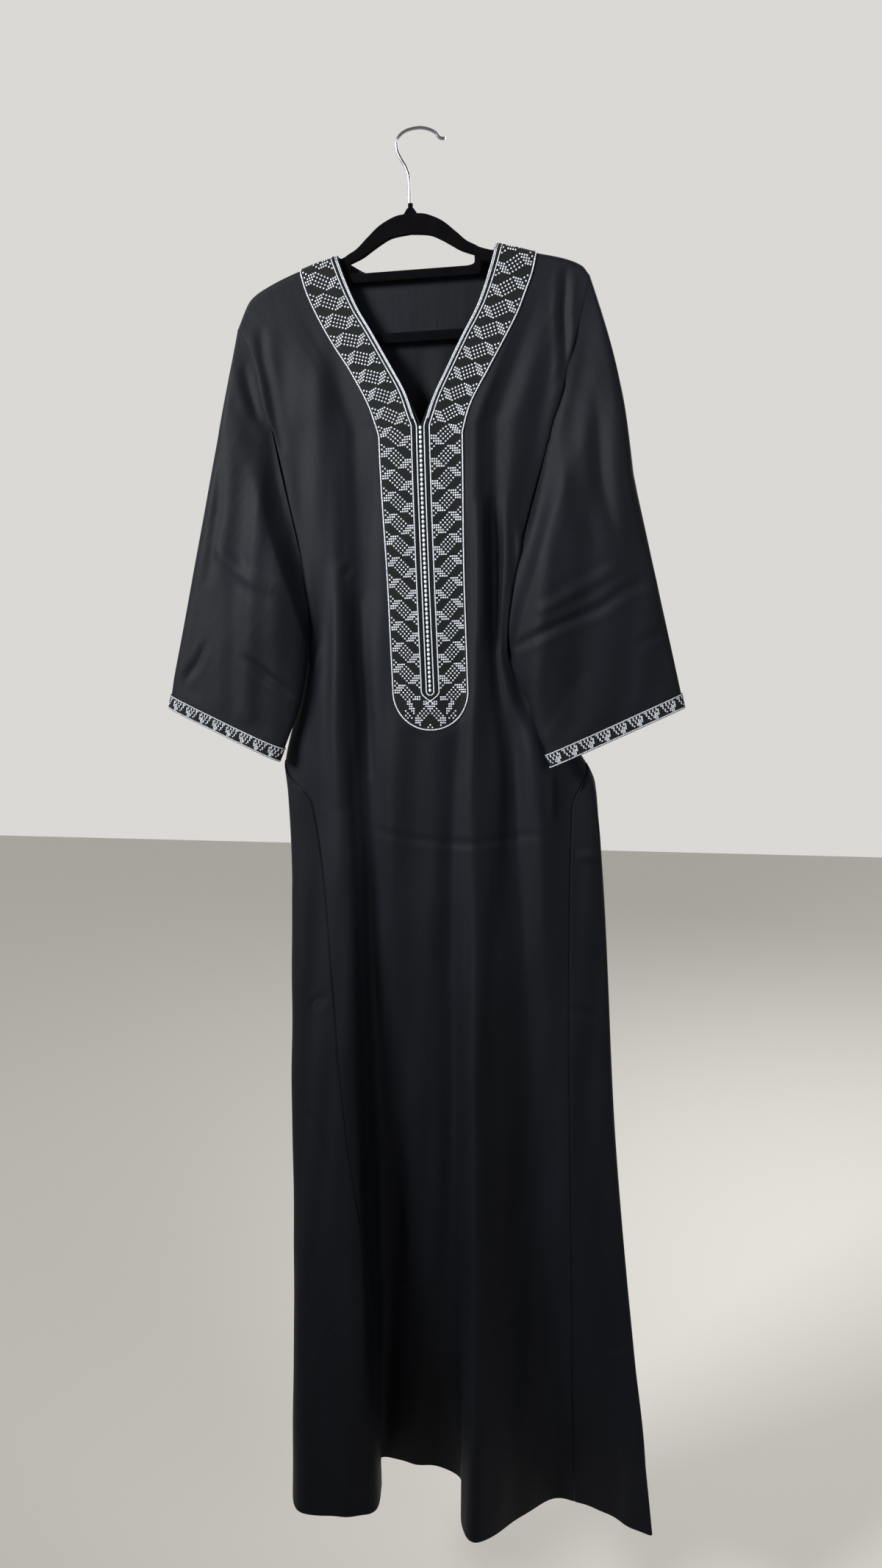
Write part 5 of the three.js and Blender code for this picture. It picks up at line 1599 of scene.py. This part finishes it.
class THOBE_OT_neck_band(bpy.types.Operator):
    """The band's black stitched ground, both sides of the V and the slit"""

    bl_idname = "thobe.neck_band"
    bl_label = "Neck and placket band"

    def execute(self, context):
        sheet = Sheet()
        shares = np.linspace(0, 1, 17)
        for name in ("left", "right"):
            inner, outer = band_edges(name)
            flat = inner[:, None] + (outer - inner)[:, None] * shares[None, :, None]
            grid = lifted(flat, BAND_TOP)
            index = sheet.add(grid)
            uvs = grid_uvs(grid)
            sheet.join(index, uvs, flip=name == "left")
        piece = place_mesh(sheet.mesh("band_ground", BAND_THICK), stitched_ground())
        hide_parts("neck_band")
        return {"FINISHED"}


class THOBE_OT_lines(bpy.types.Operator):
    """Silver lines and the black braid along the band, laid as slanted stitches"""

    bl_idname = "thobe.lines"
    bl_label = "Band lines and braid"

    def execute(self, context):
        width = context.scene.thobe_embroidery.line_width / MM
        silver, black = silver_thread(), black_gimp()
        over_band = BAND_TOP + 0.3
        self.line("line_edge", "edge_cord", silver, [(self.band(INNER_LINE), 1)], over_band + 0.3, width)
        self.line("line_outline", "outline_cord", silver, [(self.band(OUTLINE_GAP, True), 1)], 1.3, width * 1.15)
        self.line("line_channel", None, silver, [(self.loop(), 1)], over_band + 0.2, width)
        neck = {name: line[line[:, 1] < CHEST_DROP - 6] for name, line in self.band(NECK_LINE).items()}
        self.line("line_neck", None, silver, [(neck, 1)], over_band + 0.2, width * 0.8)
        braid = [(self.band(at), lean) for at, lean in zip(BRAID_ROWS, (1, -1))]
        self.line("braid", None, black, braid, over_band + 0.1, 1.2)
        return {"FINISHED"}

    def band(self, at, from_outer=False):
        return {name: band_line(name, at, from_outer) for name in ("left", "right")}

    def loop(self):
        """The channel's outer line, which closes in a pointed loop below the slit."""
        lines = self.band(CHANNEL_LINE)
        for name, line in lines.items():
            past = np.clip((line[:, 1] - SLIT_END_DROP) / (CHANNEL_LINE + SLIT_INSET), 0, 1)
            pointed = SLIT_END_DROP + LOOP_DEPTH * np.arcsin(past) / (math.pi / 2)
            line[:, 1] = np.where(past > 0, pointed, line[:, 1])
            tail = np.array([[outward(name) * -step, 0.7 * step] for step in (1.5, 3, 4.5)])
            lines[name] = np.concatenate([line, line[-1] + tail])
        return lines

    def line(self, name, node, material, lines, lift, width):
        parts = []
        for sides, lean in lines:
            for side, flat in sides.items():
                slant = math.radians(28) * lean * outward(side)
                parts.append(stitch_line(flat, width * 1.15, lift, slant))
        points, along, normals = (np.concatenate([part[k] for part in parts]) for k in range(3))
        piece = stitched(
            name,
            material,
            points,
            along,
            normals,
            Stitch_length=width * 1.7 * MM,
            Stitch_width=width * 0.72 * MM,
            Stitch_height=width * 0.6 * MM,
        )
        "cord" if material is silver_thread() else "embroidery"
        if node:
            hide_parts(node)


class THOBE_OT_motifs(bpy.types.Operator):
    """Silver cross stitches of the band's zigzag comb pattern"""

    bl_idname = "thobe.motifs"
    bl_label = "Band pattern"

    def execute(self, context):
        cell = context.scene.thobe_embroidery.cell / MM
        for name in ("left", "right"):
            places = [self.run(name, cell), self.end(name, cell)]
            centre, down = (np.concatenate([place[k] for place in places]) for k in (0, 1))
            across = np.stack([down[:, 1], -down[:, 0]], axis=-1)
            lift = BAND_TOP + 0.25
            base = lifted(centre, lift)
            raised = lifted(centre, lift + 1) - base
            alongs = [lifted(centre + (down + lean * across) * 0.4, lift) - base for lean in (-1, 1)]
            piece = stitched(
                f"pattern_{name}",
                silver_thread(),
                np.concatenate([base, base]),
                np.concatenate(alongs),
                np.concatenate([raised, raised]),
                Stitch_length=cell * 0.96 * MM,
                Stitch_width=0.0012,
                Stitch_height=0.001,
            )
        return {"FINISHED"}

    def run(self, name, cell):
        """Places of the pattern's stitches down one side, in rows square to the band, to the straight run's foot."""
        inner, outer = band_edges(name)
        straight = inner[:, 1] <= SLIT_END_DROP
        lines = []
        for line in (inner, inner * 0.5 + outer * 0.5, outer):
            line = line[straight]
            rise = (line[0] - line[12]) / np.linalg.norm(line[0] - line[12])
            foot = line[-1:] + [0, CHART_FOOT + cell - SLIT_END_DROP]
            lines.append(np.concatenate([line[:1] + rise * ABOVE_SHOULDER, line, foot]))
        inner, middle, outer = lines
        lengths = np.concatenate([[0], np.cumsum(np.linalg.norm(np.diff(middle, axis=0), axis=1))])

        def on_middle(at):
            return np.stack([np.interp(at, lengths, middle[:, k]) for k in (0, 1)], axis=-1)

        rows = lengths[-1] - (np.arange(int(lengths[-1] / cell)) + 1) * cell
        centres = on_middle(rows)
        down = unit(on_middle(rows + PATTERN_BEND) - on_middle(rows - PATTERN_BEND))
        ends = []
        for line in (inner, outer):
            ahead = np.einsum("pk,rk->rp", line, down) - np.sum(centres * down, axis=1)[:, None]
            ends.append(np.array([[np.interp(0, row, line[:, k]) for k in (0, 1)] for row in ahead]))
        width = np.linalg.norm(ends[1] - ends[0], axis=1, keepdims=True)
        across = (ends[1] - ends[0]) / width
        columns = len(BAND_CHART[0])
        cells = [
            (row, column)
            for row in range(len(rows))
            for column in range(columns)
            if BAND_CHART[(LAST_ROW - row) % len(BAND_CHART)][column] == "#"
        ]
        row, column = np.array(cells).T
        step = (width - FIELD_START - FIELD_MARGIN) / columns
        centre = ends[0][row] + across[row] * (FIELD_START + (column[:, None] + 0.5) * step[row])
        on_band = centre[:, 1] > shoulder_drop(centre[:, 0]) + 1
        return centre[on_band], down[row][on_band]

    def end(self, name, cell):
        """Places of the stitches in the band's round end."""
        middle = float(slit_x(SLIT_END_DROP))
        wide = (PLACKET_HALF - SLIT_INSET - FIELD_START - FIELD_MARGIN) / len(BAND_CHART[0])
        places = []
        for row, marks in enumerate(END_CHART):
            for column, mark in enumerate(marks):
                on_left_only = column == 0 and name == "right"
                across, below = column * wide, CHART_FOOT - SLIT_END_DROP + (row + 1) * cell
                if mark == "#" and not on_left_only and math.hypot(across, below) < PLACKET_HALF - 1.6:
                    places.append((middle + outward(name) * across, SLIT_END_DROP + below))
        centre = np.array(places)
        return centre, np.tile([0.0, 1.0], (len(centre), 1))


class THOBE_OT_beads(bpy.types.Operator):
    """The slit's braided edges and the silver beads that close it"""

    bl_idname = "thobe.beads"
    bl_label = "Bead fastening"

    def execute(self, context):
        settings = context.scene.thobe_embroidery
        drop = np.linspace(CHEST_DROP - 1, SLIT_END_DROP + 3, 130)
        across = np.linspace(-2.8, 2.8, 7)
        flat = np.stack([slit_x(drop)[:, None] + across, np.repeat(drop[:, None], 7, axis=1)], axis=-1)
        grid = lifted(flat, np.tile(1.5 - 0.5 * (across / 2.8) ** 2, (130, 1)))
        sheet = Sheet()
        sheet.join(sheet.add(grid), grid_uvs(grid))
        strip = place_mesh(sheet.mesh("slit_braid", 1.0), stitched_ground())

        pitch = settings.bead_pitch / MM
        count = round((SLIT_END_DROP - CHEST_DROP) / pitch)
        drop = CHEST_DROP + 3 + np.arange(count) * pitch
        flat = np.stack([slit_x(drop), drop], axis=-1)
        points = lifted(flat, 2.4)
        along = lifted(flat + [0, 0.5], 2.4) - points
        normals = lifted(flat, 3.4) - points
        beads = stitched(
            "slit_beads",
            silver_thread(),
            points,
            along,
            normals,
            Stitch_length=settings.bead_width * 1.25,
            Stitch_width=settings.bead_width,
            Stitch_height=settings.bead_width * 0.6,
            Sides=8,
            Rings=6,
        )
        return {"FINISHED"}


class THOBE_OT_hanger(bpy.types.Operator):
    """Flocked hanger and its chromed hook"""

    bl_idname = "thobe.hanger"
    bl_label = "Hanger"

    def execute(self, context):
        settings = context.scene.thobe_hanger
        curve = bpy.data.curves.new("flocked_hanger", "CURVE")
        curve.dimensions = "2D"
        curve.fill_mode = "BOTH"
        for outline in hanger_outlines():
            self.spline(curve, np.column_stack([outline, np.zeros(len(outline))]), cyclic=True)
        curve.extrude = HANGER_THICK / 2 * MM - settings.edge
        curve.bevel_depth = settings.edge
        curve.bevel_resolution = 4
        curve.offset = -settings.edge
        upright = Matrix.Rotation(math.radians(90), 4, "X")
        self.finish(curve, "hanger_body", velvet_flock(), "flock", upright)

        curve = bpy.data.curves.new("wire_hook", "CURVE")
        curve.dimensions = "3D"
        path = centripetal(np.array(HOOK_POINTS, float), 14)
        self.spline(curve, np.column_stack([path[:, 0], np.zeros(len(path)), -path[:, 1]]), cyclic=False)
        curve.bevel_depth = settings.wire / 2
        curve.bevel_resolution = 5
        curve.use_fill_caps = True
        self.finish(curve, "hanger_hook", chromed_wire(), "chrome", Matrix())
        return {"FINISHED"}

    def spline(self, curve, points, cyclic):
        spline = curve.splines.new("POLY")
        spline.points.add(len(points) - 1)
        spline.points.foreach_set("co", np.column_stack([points * MM, np.ones(len(points))]).ravel())
        spline.use_cyclic_u = cyclic

    def finish(self, curve, node, material, slot, turn):
        carrier = bpy.data.objects.new(curve.name, curve)
        bpy.context.collection.objects.link(carrier)
        bpy.context.view_layer.update()
        evaluated = carrier.evaluated_get(bpy.context.evaluated_depsgraph_get())
        mesh = bpy.data.meshes.new_from_object(evaluated)
        mesh.name = curve.name
        bpy.data.objects.remove(carrier)
        mesh.transform(turn)
        tidy = bmesh.new()
        tidy.from_mesh(mesh)
        bmesh.ops.remove_doubles(tidy, verts=tidy.verts, dist=1e-6)
        bmesh.ops.recalc_face_normals(tidy, faces=tidy.faces)
        tidy.to_mesh(mesh)
        tidy.free()
        mesh.materials.clear()
        mesh.shade_smooth()
        mesh.set_sharp_from_angle(angle=math.radians(40))
        piece = place_mesh(mesh, material)
        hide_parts(node)


# ---------------------------------------------------------------------------------------------------------
# Stage
# ---------------------------------------------------------------------------------------------------------


class THOBE_OT_stage(bpy.types.Operator):
    """Pale floor, soft lights and the camera"""

    bl_idname = "thobe.stage"
    bl_label = "Stage"

    def execute(self, context):
        settings = context.scene.thobe_stage
        self.floor(settings)
        self.lights(settings)
        self.camera()
        return {"FINISHED"}

    def floor(self, settings):
        half = 5.0
        z = -settings.floor_drop
        mesh = bpy.data.meshes.new("floor")
        mesh.from_pydata([(-half, -half, z), (half, -half, z), (half, half, z), (-half, half, z)], [], [(0, 1, 2, 3)])
        floor = bpy.data.objects.new("floor", mesh)
        bpy.context.collection.objects.link(floor)
        material, _, shader = new_material("pale painted floor")
        set_inputs(shader, Base_Color=linear("#efece6"), Roughness=0.85)
        mesh.materials.append(material)
        world = bpy.data.worlds.new("studio")
        bpy.context.scene.world = world
        world.use_nodes = True
        # The studio sheds more light from behind the hanger than from in front, so dark cloth isn't washed out.
        # Its walls look equally pale from everywhere.
        tree = world.node_tree
        background = tree.nodes["Background"]
        direction = add_node(tree, "ShaderNodeTexCoord").outputs["Generated"]
        towards_back = add_node(tree, "ShaderNodeSeparateXYZ", i0=direction).outputs[1]
        shed = add_node(tree, "ShaderNodeMapRange", i0=towards_back, i1=-0.5, i2=0.5, i3=0.17, i4=0.84).outputs[0]
        seen = add_node(tree, "ShaderNodeLightPath").outputs["Is Camera Ray"]
        strength = add_node(tree, "ShaderNodeMapRange", i0=seen, i3=shed, i4=0.84).outputs[0]
        tree.links.new(strength, background.inputs["Strength"])
        set_inputs(background, Color=linear("#eceae6"))
        bpy.context.scene.view_settings.view_transform = "Standard"

    def lights(self, settings):
        rows = [  # name, place, height it is turned to, size, spread in degrees, power
            ("key", (-2.1, -1.7, 0.7), -0.3, 1.0, 50, settings.key_power),
            ("fill", (1.9, -1.8, 0.2), -0.3, 1.6, 70, settings.fill_power),
            ("rim", (0.6, 1.8, 0.6), -0.75, 1.2, 180, 4 * settings.fill_power),
        ]
        for name, place, towards, size, spread, power in rows:
            light = bpy.data.lights.new(name, "AREA")
            light.size = size
            light.spread = math.radians(spread)
            light.energy = power
            lamp = bpy.data.objects.new(name, light)
            lamp.location = place
            lamp.rotation_euler = (Vector((0, 0, towards)) - Vector(place)).to_track_quat("-Z", "Y").to_euler()
            bpy.context.collection.objects.link(lamp)

    def camera(self):
        """The camera stands to the right, below the shoulders, and looks slightly left and down."""
        yaw, pitch, roll = math.radians(11.4), math.radians(9), math.radians(1)
        ahead = Vector((-math.sin(yaw) * math.cos(pitch), math.cos(yaw) * math.cos(pitch), -math.sin(pitch)))
        right = Vector((math.cos(yaw), math.sin(yaw), 0))
        up = right.cross(ahead)
        turned_right = right * math.cos(roll) - up * math.sin(roll)
        turned_up = right * math.sin(roll) + up * math.cos(roll)
        data = bpy.data.cameras.new("camera")
        data.sensor_fit = "VERTICAL"
        data.sensor_height = 36
        data.lens = 26.16
        data.clip_end = 50
        camera = bpy.data.objects.new("camera", data)
        bpy.context.collection.objects.link(camera)
        turn = Matrix((turned_right, turned_up, -ahead)).transposed()
        camera.matrix_world = Matrix.Translation((0.2949, -1.4, -0.546)) @ turn.to_4x4()
        bpy.context.scene.camera = camera


# ---------------------------------------------------------------------------------------------------------
# Panel and registration
# ---------------------------------------------------------------------------------------------------------

PIECE_OPERATORS = (
    THOBE_OT_stage,
    THOBE_OT_front,
    THOBE_OT_back,
    THOBE_OT_gores,
    THOBE_OT_sleeves,
    THOBE_OT_neck_band,
    THOBE_OT_lines,
    THOBE_OT_motifs,
    THOBE_OT_beads,
    THOBE_OT_hanger,
)
SETTINGS = {
    "thobe_cloth": ClothSettings,
    "thobe_embroidery": EmbroiderySettings,
    "thobe_hanger": HangerSettings,
    "thobe_stage": StageSettings,
}


class THOBE_PT_panel(bpy.types.Panel):
    """Lists the thobe's settings and pieces"""

    bl_label = "Thobe"
    bl_idname = "THOBE_PT_panel"
    bl_space_type = "VIEW_3D"
    bl_region_type = "UI"
    bl_category = "Thobe"

    def draw(self, context):
        for name, kind in SETTINGS.items():
            box = self.layout.box()
            for key in kind.__annotations__:
                box.prop(getattr(context.scene, name), key)
        for operator in PIECE_OPERATORS:
            self.layout.operator(operator.bl_idname)


CLASSES = (*SETTINGS.values(), *PIECE_OPERATORS, THOBE_PT_panel)


def register():
    for item in CLASSES:
        bpy.utils.register_class(item)
    for name, kind in SETTINGS.items():
        setattr(bpy.types.Scene, name, bpy.props.PointerProperty(type=kind))


def unregister():
    for name in SETTINGS:
        delattr(bpy.types.Scene, name)
    for item in reversed(CLASSES):
        bpy.utils.unregister_class(item)


def main():
    register()
    for operator in PIECE_OPERATORS:
        group, name = operator.bl_idname.split(".")
        getattr(getattr(bpy.ops, group), name)()


if __name__ == "__main__":
    main()
